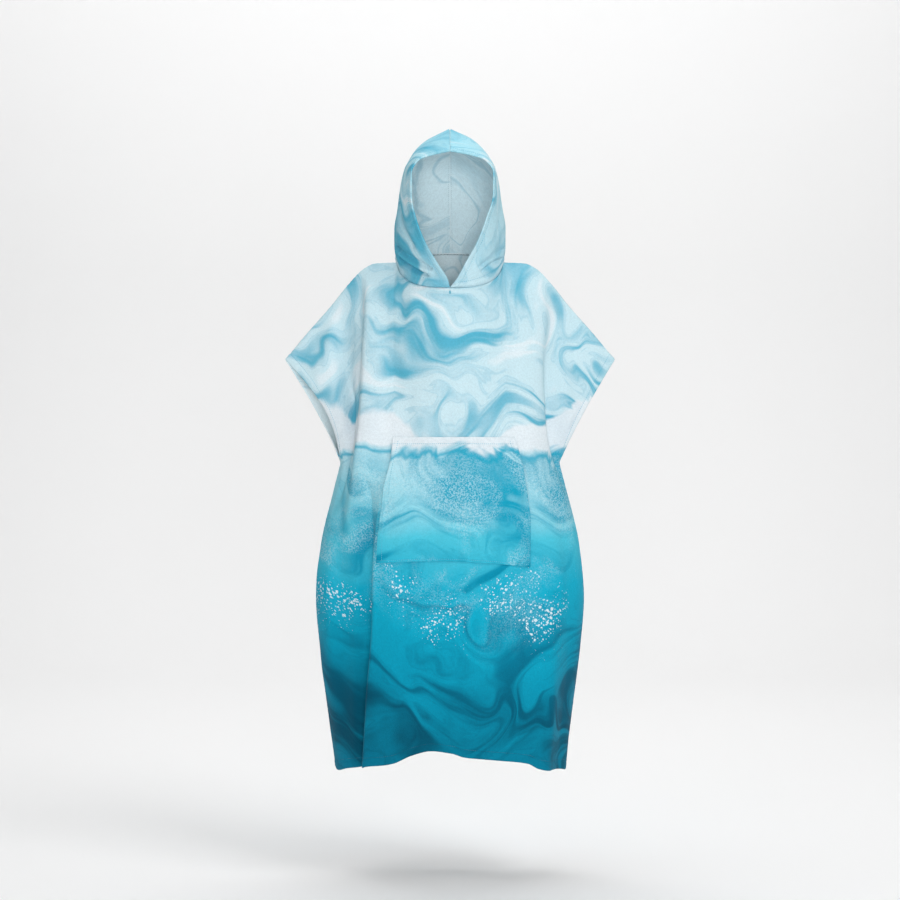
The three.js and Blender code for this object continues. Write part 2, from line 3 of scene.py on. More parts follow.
import bpy
import numpy as np
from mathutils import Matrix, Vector


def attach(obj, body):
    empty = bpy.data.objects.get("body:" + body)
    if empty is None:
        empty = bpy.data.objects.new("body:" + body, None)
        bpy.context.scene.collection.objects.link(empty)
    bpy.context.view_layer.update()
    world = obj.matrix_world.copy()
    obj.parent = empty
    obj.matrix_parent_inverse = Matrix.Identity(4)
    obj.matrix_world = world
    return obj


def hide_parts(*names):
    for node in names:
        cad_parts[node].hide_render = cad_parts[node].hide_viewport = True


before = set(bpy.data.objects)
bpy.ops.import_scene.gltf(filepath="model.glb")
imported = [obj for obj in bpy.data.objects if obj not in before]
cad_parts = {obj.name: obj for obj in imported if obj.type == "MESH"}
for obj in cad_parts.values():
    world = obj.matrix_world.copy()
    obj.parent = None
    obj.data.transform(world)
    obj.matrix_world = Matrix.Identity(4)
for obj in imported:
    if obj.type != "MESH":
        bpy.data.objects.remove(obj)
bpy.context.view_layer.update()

# Back panel.
# One wide piece of terry towelling from the shoulder seams to the hem, with the back halves of both
# short sleeves cut in one with it. It is printed on its outer face, pale on its inner face, and hemmed
# at the bottom and along the sleeves.

# Sizes are in millimetres until a mesh is made. A share runs from -1 at the left side seam, as seen from
# the front, to 1 at the right one, and a drop is measured down from the shoulder.
MM = 0.001
CLOTH = 2.6
SEAM_GAP = 0.3
UNDERARM_DROP = 440.0
HEM_DROP = 1118.0
NECK_SHARE = 1 / 3
SQUARENESS = 0.88
FLARE_STEP = 60.0
HEM_WIDTH = 19.0
HEM_STITCH = 16.0
# How a turned hem and a seam thicken or thin the cloth, and how far each of these reaches. The inner
# face takes a share of it, within a limit.
HEM = {"thick": 0.9, "fade": 1.5, "rounded": -1.1, "rounded_reach": 1.3, "sunk": -1.0, "sunk_reach": 2.0}
SEAM = {"dip": -1.1, "dip_reach": 2.1, "roll": 0.55, "roll_at": 6.5, "roll_reach": 3.2,
        "pucker": 0.3, "pucker_run": 11.0, "pucker_drift": 37.0, "pucker_reach": 9.0}
INNER_SHARE = 0.6
INNER_LIMIT = -0.9
CUT_APART = 10
# Beside an edge the rows and columns of a piece stand close together, this far from it.
EDGE_STEPS = np.array([0, 1.2, 2.6, 4.5, 7, 10, 13, 15, 16, 17, 19, 22])
PANEL_HALF = 500.0
YOKE_LENGTH = 400.0
PANEL_ROWS = {"yoke": 78, "skirt": 104, "yoke_bunch": 1.1, "side_bunch": 1.2}
SLEEVE_ROW = 20
ENDS = slice(3, -3)
FAR = 1e3


def table(names, rows):
    """Named columns of a short table."""
    return dict(zip(names.split(), np.array(rows, float).T))


SHOULDER = table("share out drop", [
    (NECK_SHARE, 116, 0), (0.42, 163, 2), (0.48, 190, 14), (0.56, 222, 46), (0.7, 263, 97),
    (0.85, 314, 155), (1, 363, 214)])
BODY = table("drop half front back", [
    (UNDERARM_DROP, 240, 130, 108), (500, 255, 137, 114), (620, 283, 147, 124), (740, 294, 153, 130),
    (860, 284, 152, 130), (1000, 267, 147, 127), (HEM_DROP, 251, 142, 124)])
FALL = table("share out down hang", [
    (0, 95, 250, 330), (0.2, 135, 190, 360), (NECK_SHARE, 215, 90, 420), (0.48, 190, 110, 420),
    (0.7, 90, 220, 330), (1, 0, 226, 226)])
BACK_HEM = table("share lift", [(-1, 10), (-0.88, 8), (-0.5, 30), (0, 44), (0.5, 30), (0.88, 8), (1, 11)])
SOFTEN = {"step": 0.04, "from": 0.6, "to": 0.85, "felt": 0.36, "weights": (1, 2, 3, 2, 1)}
YOKE = {"edge": (0.78, 1), "drift": (0.4, 0.8), "settle": 0.12, "side_settle": 0.93}
NECK = {"half": 116, "front": 97, "back": 73, "front_drop": 64, "back_rise": 25, "curve": 1.3, "mitre": 0.9}

FOLD = "drop share depth left right"
BACK_FOLDS = [
    table(FOLD, [(40, -0.56, 0, 0.1, 0.06), (260, -0.64, -28, 0.12, 0.07), (430, -0.7, -32, 0.1, 0.08),
                 (700, -0.66, -20, 0.12, 0.09), (HEM_DROP, -0.6, -24, 0.12, 0.09)]),
    table(FOLD, [(40, 0.56, 0, 0.06, 0.1), (260, 0.65, -32, 0.07, 0.12), (430, 0.7, -36, 0.08, 0.1),
                 (640, 0.68, -26, 0.08, 0.12), (HEM_DROP, 0.57, -34, 0.07, 0.12)]),
    table(FOLD, [(260, -0.34, 0, 0.1, 0.1), (620, -0.3, 9, 0.1, 0.1), (HEM_DROP, -0.28, 20, 0.11, 0.11)]),
    table(FOLD, [(320, 0.24, 0, 0.1, 0.1), (700, 0.22, 8, 0.1, 0.09), (HEM_DROP, 0.2, 17, 0.1, 0.09)]),
    table(FOLD, [(500, -0.04, 0, 0.1, 0.08), (HEM_DROP, -0.04, -14, 0.1, 0.08)]),
]

# Small creases, in millimetres as seen from outside: x and z of the start, the middle and the end, the
# depth, negative for a trough, and the width on each side.
CREASE = "x0 z0 x1 z1 x2 z2 depth left right"
BACK_CREASES = table(CREASE, [
    (-150, -14, -142, -120, -150, -250, -3.5, 16, 22),
    (-112, -20, -96, -150, -92, -300, -2.6, 20, 15),
    (108, -22, 92, -130, 96, -260, -3.2, 14, 20),
    (160, -16, 152, -150, 168, -300, 3.0, 18, 14),
    (-60, 10, -40, -90, -45, -210, -2.2, 18, 24),
    (40, 12, 52, -100, 46, -180, -2.0, 22, 16),
    (-250, -110, -225, -220, -215, -340, -4.0, 14, 20),
    (-300, -165, -270, -250, -262, -350, 3.0, 14, 12),
    (258, -120, 232, -230, 224, -350, -4.4, 16, 14),
    (305, -180, 285, -250, 268, -330, 2.6, 12, 14),
    (-222, -450, -205, -560, -214, -700, -3.6, 13, 18),
    (226, -455, 204, -600, 216, -760, -4.2, 16, 12),
    (-70, -420, -84, -640, -66, -900, 3.2, 24, 18),
    (20, -380, 10, -600, 30, -860, -3.0, 22, 26),
    (118, -560, 130, -800, 118, -1090, -4.2, 20, 14),
    (-130, -700, -142, -900, -128, -1095, -4.0, 14, 22),
    (60, -820, 68, -960, 60, -1080, 3.2, 16, 16),
    (-228, -760, -222, -900, -210, -1085, 3.4, 14, 12),
    (-90, -330, 0, -352, 95, -326, -2.2, 14, 18),
    (-60, -505, 30, -520, 110, -498, 1.8, 16, 14),
])


CREASE_STEPS = 14
CREASE_TAPER = 0.7


def ease(start, start_slope, end, end_slope, t):
    """A cubic between two values, with the slope at each end."""
    rise = t * t * (3 - 2 * t)
    return start + (end - start) * rise + start_slope * t * (1 - t) ** 2 - end_slope * t * t * (1 - t)


def smoothstep(x, low, high):
    t = np.clip((x - low) / (high - low), 0, 1)
    return t * t * (3 - 2 * t)


def curve(tab, name, at):
    """A table's column at a value of its first one, on a smooth curve that doesn't overshoot."""
    xs, ys = next(iter(tab.values())), tab[name]
    at = np.clip(at, xs[0], xs[-1])
    k = np.clip(np.searchsorted(xs, at) - 1, 0, len(xs) - 2)
    secant = np.diff(ys) / np.diff(xs)
    slope = np.concatenate([secant[:1], np.zeros(len(xs) - 2), secant[-1:]])
    before, after = secant[:-1], secant[1:]
    same = before * after > 0
    slope[1:-1][same] = (2 * before * after)[same] / (before + after)[same]
    span = xs[k + 1] - xs[k]
    return ease(ys[k], slope[k] * span, ys[k + 1], slope[k + 1] * span, (at - xs[k]) / span)


def rows_of(tab):
    return [dict(zip(tab, row)) for row in zip(*tab.values())]


def on_crease(crease, ways, t):
    """Places on a crease's line, which runs from its start to its end and is drawn to its middle."""
    columns = ([crease[way + stage] for stage in "012"] for way in ways)
    return [start * (1 - t) ** 2 + 2 * middle * t * (1 - t) + end * t ** 2 for start, middle, end in columns]


def swell(away, reach):
    """A soft rise that is 1 in its middle and fades to 0 past its reach."""
    return np.exp(-((away / reach) ** 2))


def points(x, y, z):
    return np.stack(np.broadcast_arrays(x, y, z), -1).astype(float)


def unit(v):
    return v / np.maximum(np.linalg.norm(v, axis=-1, keepdims=True), 1e-12)


def neck_point(degrees):
    """The neck seam: 0 is the middle of the back, 90 the left side and 180 the middle of the front."""
    angle = np.radians(degrees)
    forward = -np.cos(angle)
    drop = NECK["front_drop"] * (1 - np.abs(1 - forward) ** NECK["curve"])
    front = points(-NECK["half"] * np.sin(angle), -NECK["front"] * forward, -drop)
    back = points(-NECK["half"] * np.sin(angle), -NECK["back"] * forward, -NECK["back_rise"] * forward)
    return np.where((forward > 0)[..., None], front, back)


def neck_mitre(degrees):
    angle = np.radians(degrees)
    side = np.sin(angle)
    return unit(points(-side, np.cos(angle), NECK["mitre"] * side))


def neck_degrees(panel, share):
    return 90 - panel["facing"] * 90 * (1 - np.abs(share) / NECK_SHARE)


def upper_edge(panel, share):
    hand = np.where(share < 0, -1, 1)
    away = np.abs(share)
    neck = neck_point(neck_degrees(panel, np.minimum(away, NECK_SHARE)))
    neck[..., 0] = hand * np.abs(neck[..., 0])
    out = curve(SHOULDER, "out", away)
    shoulder = points(hand * out, 0, -curve(SHOULDER, "drop", away))
    return np.where((away < NECK_SHARE)[..., None], neck, shoulder)


def soft_edge(panel, share):
    """The upper edge with its corners softened, which the cloth below it follows."""
    soft = 0
    for k, weight in enumerate(SOFTEN["weights"]):
        near = np.clip(share + (k - len(SOFTEN["weights"]) // 2) * SOFTEN["step"], -1, 1)
        soft = soft + upper_edge(panel, near) * weight / sum(SOFTEN["weights"])
    return soft


def section(panel, share, drop):
    angle = share * math.pi / 2
    across = np.sign(share) * np.abs(np.sin(angle)) ** SQUARENESS
    deep = np.maximum(np.cos(angle), 0) ** SQUARENESS
    half = curve(BODY, "half", drop)
    depth = curve(BODY, panel["depth"], drop)
    return points(half * across, panel["facing"] * depth * deep, -drop)


def smooth_form(panel, share, down):
    """A panel's smooth form. Down is 0 at the upper edge, 1 at the underarm and 2 at the hem."""
    share, down = np.broadcast_arrays(share, down)
    below = np.clip(down - 1, 0, 1)
    skirt = section(panel, share, UNDERARM_DROP + (HEM_DROP - UNDERARM_DROP) * below)
    skirt[..., 2] += curve(panel["hem"], "lift", share) * below ** 3
    t = np.clip(down, 0, 1)
    away = np.abs(share)
    seam = upper_edge(panel, share)
    to_sleeve = smoothstep(away, SOFTEN["from"], SOFTEN["to"])[..., None]
    start = soft_edge(panel, share) * (1 - to_sleeve) + seam * to_sleeve
    end = section(panel, share, UNDERARM_DROP)
    widen = unit(section(panel, share, UNDERARM_DROP + FLARE_STEP) - end)
    edge = smoothstep(away, *YOKE["edge"])[..., None]
    drift = (end[..., 0] - start[..., 0]) * smoothstep(away, *YOKE["drift"])
    leave = points(drift, panel["facing"] * curve(FALL, "out", away),
                   -curve(FALL, "down", away))
    arrive = widen * curve(FALL, "hang", away)[..., None] * (1 - edge) + (end - start) * edge
    yoke = ease(start, leave, end, arrive, t[..., None])
    yoke = yoke + (seam - start) * (1 - smoothstep(t, 0, SOFTEN["felt"]))[..., None]
    is_open = np.sin(math.pi * t) * smoothstep(away, panel["reach"], 1)
    goes_in = np.where(share < 0, panel["left_in"], panel["right_in"])
    yoke[..., 0] -= np.sign(share) * goes_in * is_open
    yoke[..., 1] += panel["facing"] * panel["stand"] * is_open
    return np.where((down >= 1)[..., None], skirt, yoke)


def outward(surface, a, b, low, high, facing):
    """The direction out of a surface, from places a small step to each side."""
    step = 3e-3
    along_row = surface(np.minimum(a + step, high[0]), b) - surface(np.maximum(a - step, low[0]), b)
    along_column = surface(a, np.minimum(b + step, high[1])) - surface(a, np.maximum(b - step, low[1]))
    return unit(np.cross(along_row, along_column)) * facing


def fold_depth(panel, share, drop):
    depth = np.zeros(np.shape(share))
    for fold in panel["folds"]:
        inside = (drop > fold["drop"][0]) & (drop <= fold["drop"][-1] + 1)
        away = share - curve(fold, "share", drop)
        width = np.where(away < 0, curve(fold, "left", drop), curve(fold, "right", drop))
        depth += np.where(inside, curve(fold, "depth", drop) * swell(away, width), 0)
    return depth


def crease_depth(creases, x, z):
    """How far the small creases move the cloth out at each place."""
    depth = np.zeros(np.shape(x))
    t = np.linspace(0, 1, CREASE_STEPS + 1)
    for crease in rows_of(creases):
        px, pz = on_crease(crease, "xz", t)
        closest = np.full(np.shape(x), FAR)
        value = np.zeros(np.shape(x))
        for n in range(CREASE_STEPS):
            dx, dz = px[n + 1] - px[n], pz[n + 1] - pz[n]
            ahead = np.clip(((x - px[n]) * dx + (z - pz[n]) * dz) / (dx * dx + dz * dz), 0, 1)
            ox, oz = x - px[n] - ahead * dx, z - pz[n] - ahead * dz
            away = np.hypot(ox, oz)
            width = np.where(ox * dz - oz * dx > 0, crease["left"], crease["right"])
            place = (n + ahead) / CREASE_STEPS
            taper = np.sin(math.pi * np.clip(place * 0.9 + 0.05, 0, 1)) ** CREASE_TAPER
            value = np.where(away < closest, taper * swell(away, width), value)
            closest = np.minimum(away, closest)
        depth += crease["depth"] * value
    return depth


# The long, low waves that hanging cloth has: how far apart they are across and down, depth and start.
WAVES = table("across down depth start", [
    (190, 620, 1.6, 0.4), (118, -540, 1.1, 2.1), (76, 330, 0.6, 4.0), (260, -210, 0.8, 1.2),
    (52, 190, 0.35, 0.3)])
WAVE_SHIFT = 40


def wave_depth(x, z):
    return sum(wave["depth"] * np.sin(2 * math.pi * (x / wave["across"] + z / wave["down"]) + wave["start"])
               for wave in rows_of(WAVES))


def panel_face(panel, home, down):
    """A panel's outer face with all its folds and creases."""
    home, down = np.broadcast_arrays(np.asarray(home, float), np.asarray(down, float))
    drop = -smooth_form(panel, home, down)[..., 2]
    share, rise, lapped = panel["lap"](home, drop) if panel["lap"] else (home, 0 * home, 0 * home)
    point = smooth_form(panel, share, down)
    out = outward(lambda a, b: smooth_form(panel, a, b), share, down, (-1, 0), (1, 2), panel["facing"])
    settle = smoothstep(down, 0, YOKE["settle"]) * (1 - smoothstep(np.abs(share), YOKE["side_settle"], 1))
    depth = fold_depth(panel, share, drop) + rise
    x, z = point[..., 0], point[..., 2]
    small = crease_depth(panel["creases"], x, z) + wave_depth(x + panel["facing"] * WAVE_SHIFT, z)
    return point + out * ((depth + small * (1 - lapped)) * settle)[..., None]


def panel_normal(panel, home, down):
    """The direction through the cloth, which lies in the seam's plane at a seam."""
    home, down = np.broadcast_arrays(np.asarray(home, float), np.asarray(down, float))
    out = outward(lambda a, b: panel_face(panel, a, b), home, down, (-1, 0), (1, 2), panel["facing"])
    flat = out.copy()
    flat[..., 1] = 0
    on_seam = (down == 0) | ((np.abs(home) == 1) & (down >= 1))
    out = np.where(on_seam[..., None], unit(flat), out)
    mitre = neck_mitre(neck_degrees(panel, np.minimum(np.abs(home), NECK_SHARE)))
    mitre[..., 0] *= np.where(home < 0, 1, -1)
    on_neck = (down == 0) & (np.abs(home) < NECK_SHARE)
    return np.where(on_neck[..., None], mitre, out)


def along(grid, axis):
    """The length of cloth from the first row or column to each place."""
    step = np.linalg.norm(np.diff(grid, axis=axis), axis=-1)
    zero = np.zeros_like(np.take(step, [0], axis=axis))
    return np.cumsum(np.concatenate([zero, step], axis=axis), axis=axis)


def from_end(length, axis):
    return np.take(length, [-1], axis=axis) - length


def nearest(values, to):
    return np.argmin(np.abs(values - to))


def steps(*parts, digits=6):
    """All the steps of a grid in order, each one once."""
    return np.unique(np.round(np.concatenate(parts), digits))


def hem_profile(away, stitch=HEM_STITCH, width=HEM_WIDTH):
    """How much a turned hem thickens each face, with its edge rounded and its stitching sunk in."""
    thick = HEM["thick"] * (1 - smoothstep(away, width - HEM["fade"], width + HEM["fade"]))
    rounded = HEM["rounded"] * swell(away, HEM["rounded_reach"])
    return thick + rounded + HEM["sunk"] * swell(away - stitch, HEM["sunk_reach"])


def seam_profile(away, run):
    """How the cloth dips into a seam, with the small puckers that its stitching pulls."""
    dip = SEAM["dip"] * swell(away, SEAM["dip_reach"])
    roll = SEAM["roll"] * swell(away - SEAM["roll_at"], SEAM["roll_reach"])
    drift = 1.3 * np.sin(run / SEAM["pucker_drift"])
    pucker = SEAM["pucker"] * np.sin(2 * math.pi * run / SEAM["pucker_run"] + drift)
    return dip + roll + pucker * swell(away, SEAM["pucker_reach"])


def add_object(name, data):
    made = bpy.data.objects.new(name, data)
    bpy.context.scene.collection.objects.link(made)
    return made


def add_mesh(name, places, faces, materials):
    mesh = bpy.data.meshes.new(name)
    mesh.from_pydata(places, [], faces)
    for material in materials:
        mesh.materials.append(material)
    mesh.polygons.foreach_set("use_smooth", np.ones(len(faces), bool))
    mesh.update()
    return add_object(name, mesh)


def cloth_piece(name, outer, inner, flat, hemmed, facing_out, materials):
    """A closed wall of cloth between two grids, with a material for each face and the print turned in
    at its hems. Flat is each place's own place in the cut cloth, which the print and the pile follow."""
    if not facing_out:
        outer, inner, flat, hemmed = (grid[::-1] for grid in (outer, inner, flat, hemmed))
    rows, columns = outer.shape[:2]
    skin = rows * columns
    at = np.arange(skin).reshape(rows, columns)
    a, b, c, d = at[:-1, :-1], at[:-1, 1:], at[1:, 1:], at[1:, :-1]
    front = np.stack([a, b, c, d], -1).reshape(-1, 4)
    back = np.stack([c, b, a, d], -1).reshape(-1, 4) + skin
    rim = np.concatenate([at[0, :-1], at[:-1, -1], at[-1, :0:-1], at[:0:-1, 0]])
    after = np.roll(rim, -1)
    edge = np.stack([after, rim, rim + skin, after + skin], -1)
    places = np.concatenate([outer.reshape(-1, 3), inner.reshape(-1, 3)]) * MM
    piece = add_mesh(name, places.tolist(), np.concatenate([front, back, edge]).tolist(), materials)
    turned = hemmed.reshape(-1)[back[:, 0] - skin]
    which = np.concatenate([np.zeros(len(front)), np.where(turned, 0, 1), np.zeros(len(edge))])
    piece.data.polygons.foreach_set("material_index", which.astype(np.int32))
    layer = piece.data.attributes.new("cut_cloth", "FLOAT_VECTOR", "POINT")
    both = np.concatenate([flat.reshape(-1, 3)] * 2) * MM
    layer.data.foreach_set("vector", both.astype(np.float32).ravel())
    piece.data.validate()
    piece.data.update()
    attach(piece, "root")
    return piece


# A stitch is a short bent bar of thread: rings along it, with the place, size and lift of each.
STITCH_RINGS = ((0.0, 0.35, -0.5), (0.16, 0.9, 0.1), (0.5, 1.0, 0.32), (0.84, 0.9, 0.1), (1.0, 0.35, -0.5))
STITCH_SIDES = 6


def at_length(s, length, values):
    return np.array([np.interp(s, length, values[:, k]) for k in range(3)])


def thread_piece(name, lines, material, radius=0.45, stitch=3.2, gap=1.3):
    """Rows of short stitches that lie along lines of (places, outward directions), all in one mesh."""
    sides = STITCH_SIDES
    verts, faces = [], []
    turns = np.linspace(0, 2 * math.pi, sides, endpoint=False)
    for places, outs in lines:
        length = np.concatenate([[0], np.cumsum(np.linalg.norm(np.diff(places, axis=0), axis=1))])
        for s in np.arange(0.5 * gap, length[-1] - stitch, stitch + gap):
            out = unit(at_length(s + stitch / 2, length, outs))
            ahead = unit(at_length(s + stitch, length, places) - at_length(s, length, places))
            side = unit(np.cross(ahead, out))
            base = len(verts)
            for t, size, lift in STITCH_RINGS:
                centre = at_length(s + stitch * t, length, places) + out * radius * lift
                for angle in turns:
                    verts.append(centre + radius * size * (side * math.cos(angle) + out * math.sin(angle)))
            for ring in range(len(STITCH_RINGS) - 1):
                for k in range(sides):
                    p, q = base + ring * sides + k, base + ring * sides + (k + 1) % sides
                    faces.append((p, q, q + sides, p + sides))
            faces.append(tuple(base + k for k in reversed(range(sides))))
            faces.append(tuple(len(verts) - sides + k for k in range(sides)))
    piece = add_mesh(name, (np.array(verts) * MM).tolist(), faces, [material])
    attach(piece, "root")
    return piece


def colour(red, green, blue):
    """A screen colour, 0 to 255, as the linear colour that a shader takes."""
    linear = [((v / 255 + 0.055) / 1.055) ** 2.4 if v > 10 else v / 255 / 12.92 for v in (red, green, blue)]
    return (*linear, 1.0)


class Nodes:
    """Short ways to add and join shader nodes."""

    def __init__(self, name):
        self.material = bpy.data.materials.new(name)
        self.material.use_nodes = True
        self.tree = self.material.node_tree
        self.tree.nodes.clear()

    def feed(self, socket, value):
        if isinstance(value, bpy.types.NodeSocket):
            self.tree.links.new(value, socket)
        else:
            socket.default_value = value

    def add(self, kind, inputs, **settings):
        made = self.tree.nodes.new("ShaderNode" + kind)
        for key, value in settings.items():
            setattr(made, key, value)
        for key, value in inputs.items():
            self.feed(made.inputs[key], value)
        return made

    def maths(self, operation, a, b=0.0):
        return self.add("Math", {0: a, 1: b}, operation=operation).outputs[0]

    def plus(self, a, b):
        return self.maths("ADD", a, b)

    def minus(self, a, b):
        return self.maths("SUBTRACT", a, b)

    def times(self, a, b):
        return self.maths("MULTIPLY", a, b)

    def apart(self, a, b):
        return self.maths("ABSOLUTE", self.minus(a, b))

    def vector(self, operation, a, b):
        return self.add("VectorMath", {0: a, 1: b}, operation=operation).outputs[0]

    def scaled(self, a, scale):
        return self.add("VectorMath", {0: a, "Scale": scale}, operation="SCALE").outputs[0]

    def axis(self, a, number):
        return self.add("SeparateXYZ", {0: a}).outputs[number]

    def joined(self, x, y, z):
        return self.add("CombineXYZ", {0: x, 1: y, 2: z}).outputs[0]

    def cut_cloth(self):
        return self.add("Attribute", {}, attribute_name="cut_cloth").outputs["Vector"]

    def noise(self, at, scale, detail=2.0, roughness=0.5, distortion=0.0, output="Fac"):
        return self.add("TexNoise", {
            "Vector": at, "Scale": scale, "Detail": detail, "Roughness": roughness,
            "Distortion": distortion}).outputs[output]

    def span(self, value, low, high, to_low=0.0, to_high=1.0):
        return self.add("MapRange", {
            "Value": value, "From Min": low, "From Max": high, "To Min": to_low, "To Max": to_high},
            interpolation_type="SMOOTHSTEP").outputs[0]

    def ramp(self, value, stops):
        made = self.add("ValToRGB", {"Fac": value})
        cells = made.color_ramp.elements
        while len(cells) < len(stops):
            cells.new(0.5)
        for cell, (place, *tint) in zip(cells, stops):
            cell.position = place
            cell.color = colour(*tint)
        return made.outputs["Color"]

    def mix(self, share, a, b):
        made = self.add("Mix", {0: share}, data_type="RGBA")
        for socket, value in zip([i for i in made.inputs if i.type == "RGBA"], (a, b)):
            self.feed(socket, value)
        return [o for o in made.outputs if o.type == "RGBA"][0]

    def surface(self, inputs):
        made = self.add("BsdfPrincipled", inputs)
        self.add("OutputMaterial", {"Surface": made.outputs[0]})
        return self.material


# How the marbled dye is stirred: how fine each stirring is, and how far it moves the dye.
STIRRINGS = ((2.6, 0.46), (7.5, 0.13))
STRANDS = {"drawn_out": (0.5, 1.35, 1.0), "across_levels": 15.0, "along_levels": 3.4}


def marbling(n, shift):
    """The place in the cut cloth, the same place stirred, and long strands of dye that follow it."""
    cut = n.vector("ADD", n.cut_cloth(), shift)
    stirred = cut
    for scale, reach in STIRRINGS:
        swirl = n.vector("SUBTRACT", n.noise(stirred, scale, 1.0, output="Color"), (0.5, 0.5, 0.5))
        stirred = n.vector("ADD", stirred, n.scaled(swirl, reach))
    level = n.noise(n.vector("MULTIPLY", stirred, STRANDS["drawn_out"]), 3.0, 1.5, 0.4, 0.25)
    x, y = (n.times(n.axis(cut, k), STRANDS["along_levels"]) for k in (0, 1))
    at = n.joined(n.times(level, STRANDS["across_levels"]), x, y)
    return cut, stirred, n.noise(at, 1.0, 3.0)


# Terry pile: how fine its loops and tufts are, how high they make it, and how dark the painted shade between
# the loops makes it.
PILE = {"loops": 560.0, "tufts": 190.0, "loop_height": -0.7, "tuft_height": 0.9, "loop_painted_shade": -0.16}
SHEEN_TINT = (0.6, 0.86, 0.95, 1.0)


def pile(n, base, depth):
    """Terry pile: short loops that stand in rough rows, painted shade where the pile is low and painted
    light where it is high, a soft sheen and no gloss.
    """
    place = n.cut_cloth()
    loops = n.add("TexVoronoi", {
        "Vector": place, "Scale": PILE["loops"], "Randomness": 0.8}).outputs["Distance"]
    tufts = n.noise(place, PILE["tufts"], 2.0, 0.6)
    height = n.plus(n.times(loops, PILE["loop_height"]), n.times(tufts, PILE["tuft_height"]))
    bump = n.add("Bump", {"Strength": 0.55, "Distance": depth, "Height": height})
    # Painted shade and light: the colour is darker between the loops and lighter on the high tufts,
    # following the bump's height.
    painted_pile_shade = n.plus(n.times(loops, PILE["loop_painted_shade"]), 1.06)
    painted_pile_shade = n.times(painted_pile_shade, n.span(tufts, 0.3, 0.7, 0.955, 1.03))
    return n.surface({
        "Base Color": n.vector("MULTIPLY", base, n.joined(painted_pile_shade, painted_pile_shade, painted_pile_shade)), "Roughness": 0.94,
        "Specular IOR Level": 0.08, "Normal": bump.outputs[0], "Sheen Weight": 0.07,
        "Sheen Roughness": 0.5, "Sheen Tint": SHEEN_TINT})


# The colours of the dye, thin and strong, from the hem up: the height and the screen colour of each.
THIN_DYE = ((0.00, 2, 112, 140), (0.14, 4, 142, 172), (0.25, 14, 166, 196), (0.34, 76, 190, 212),
            (0.42, 150, 210, 224), (0.50, 198, 223, 231), (0.78, 192, 221, 230), (1.00, 158, 212, 226))
STRONG_DYE = ((0.00, 0, 58, 78), (0.12, 0, 88, 114), (0.22, 2, 120, 150), (0.32, 6, 148, 180),
              (0.42, 26, 158, 188), (0.50, 88, 172, 197), (0.78, 84, 174, 200), (1.00, 58, 164, 194))
# Where the dyed height starts and ends on the cut cloth, and how far its bands sway and ripple.
BANDS = {"low": -1.15, "high": 0.35, "sway": 0.36, "ripple": 0.10}
FOAM = {"height": 0.50, "width": 0.062, "cover": 0.92, "shore": 0.008, "shore_cover": 0.75}
SPRAY = {"height": 0.235, "width": 0.062, "cover": 0.85, "drops": ((110.0, 0.44), (210.0, 0.50))}


def dyed(n, cut, stirred, strand, height):
    """Thin and strong dye in strands, with fine veins, pale wisps and grainy patches."""
    thin, strong = n.ramp(height, THIN_DYE), n.ramp(height, STRONG_DYE)
    tint = n.mix(n.span(strand, 0.34, 0.57), strong, thin)
    vein = n.times(n.span(n.apart(strand, 0.53), 0.012, 0.0), n.span(height, 0.2, 0.5, 0.2, 0.24))
    tint = n.mix(vein, tint, strong)
    wisp = n.times(n.span(strand, 0.60, 0.68), n.span(height, 0.44, 0.6, 0.0, 0.75))
    tint = n.mix(wisp, tint, colour(222, 232, 237))
    zone = n.times(n.span(height, 0.20, 0.32), n.span(height, 0.52, 0.42))
    zone = n.times(zone, n.span(n.noise(stirred, 5.0, 3.0, 0.6), 0.44, 0.60))
    grain = n.span(n.noise(cut, 330.0, 3.0, 0.8), 0.46, 0.56, 0.0, 0.6)
    return n.mix(n.times(zone, grain), tint, colour(184, 220, 230))


def foamed(n, cut, height, tint):
    """A level band of foam, with a line of strong dye along its lower edge."""
    width = n.times(n.noise(cut, 3.4, 1.0), FOAM["width"])
    edge = n.minus(n.apart(height, FOAM["height"]), width)
    tint = n.mix(n.times(n.span(edge, 0.003, -0.008), FOAM["cover"]), tint, colour(222, 230, 235))
    shore = n.span(n.apart(edge, FOAM["shore"]), 0.007, 0.0)
    shore = n.times(shore, n.span(height, FOAM["height"] + 0.01, FOAM["height"] - 0.02))
    return n.mix(n.times(shore, FOAM["shore_cover"]), tint, colour(24, 160, 190))


def sprayed(n, cut, height, tint):
    """A level row of spray, in drops of two sizes."""
    row = n.span(n.apart(height, SPRAY["height"]), SPRAY["width"], 0.0)
    row = n.times(row, n.span(n.noise(cut, 6.0, 2.0), 0.40, 0.56))
    shaken = n.vector("ADD", cut, n.scaled(n.noise(cut, 130.0, 2.0, output="Color"), 0.007))
    for scale, reach in SPRAY["drops"]:
        drops = n.add("TexVoronoi", {"Vector": shaken, "Scale": scale, "Randomness": 1.0})
        size = n.times(n.times(n.axis(drops.outputs["Color"], 0), reach), row)
        specks = n.span(n.minus(drops.outputs["Distance"], size), 0.06, -0.08)
        specks = n.times(specks, n.span(row, 0.05, 0.3))
        tint = n.mix(n.times(specks, SPRAY["cover"]), tint, colour(216, 232, 238))
    return tint


def printed_towelling(name, shift, wander=1.0):
    """Marbled dye in bands that darken from pale aqua at the top to deep teal at the hem."""
    n = Nodes(name)
    cut, stirred, strand = marbling(n, shift)
    sway = n.times(n.minus(n.noise(cut, 2.1, 2.0, 0.5, 0.4), 0.5), BANDS["sway"] * wander)
    ripple = n.times(n.minus(n.noise(stirred, 9.0, 3.0, 0.55), 0.5), BANDS["ripple"])
    level = n.plus(n.plus(n.axis(cut, 1), sway), ripple)
    height = n.add("MapRange", {
        "Value": level, "From Min": BANDS["low"], "From Max": BANDS["high"]}).outputs[0]
    tint = foamed(n, cut, height, dyed(n, cut, stirred, strand, height))
    return pile(n, sprayed(n, cut, height, tint), 0.0011)


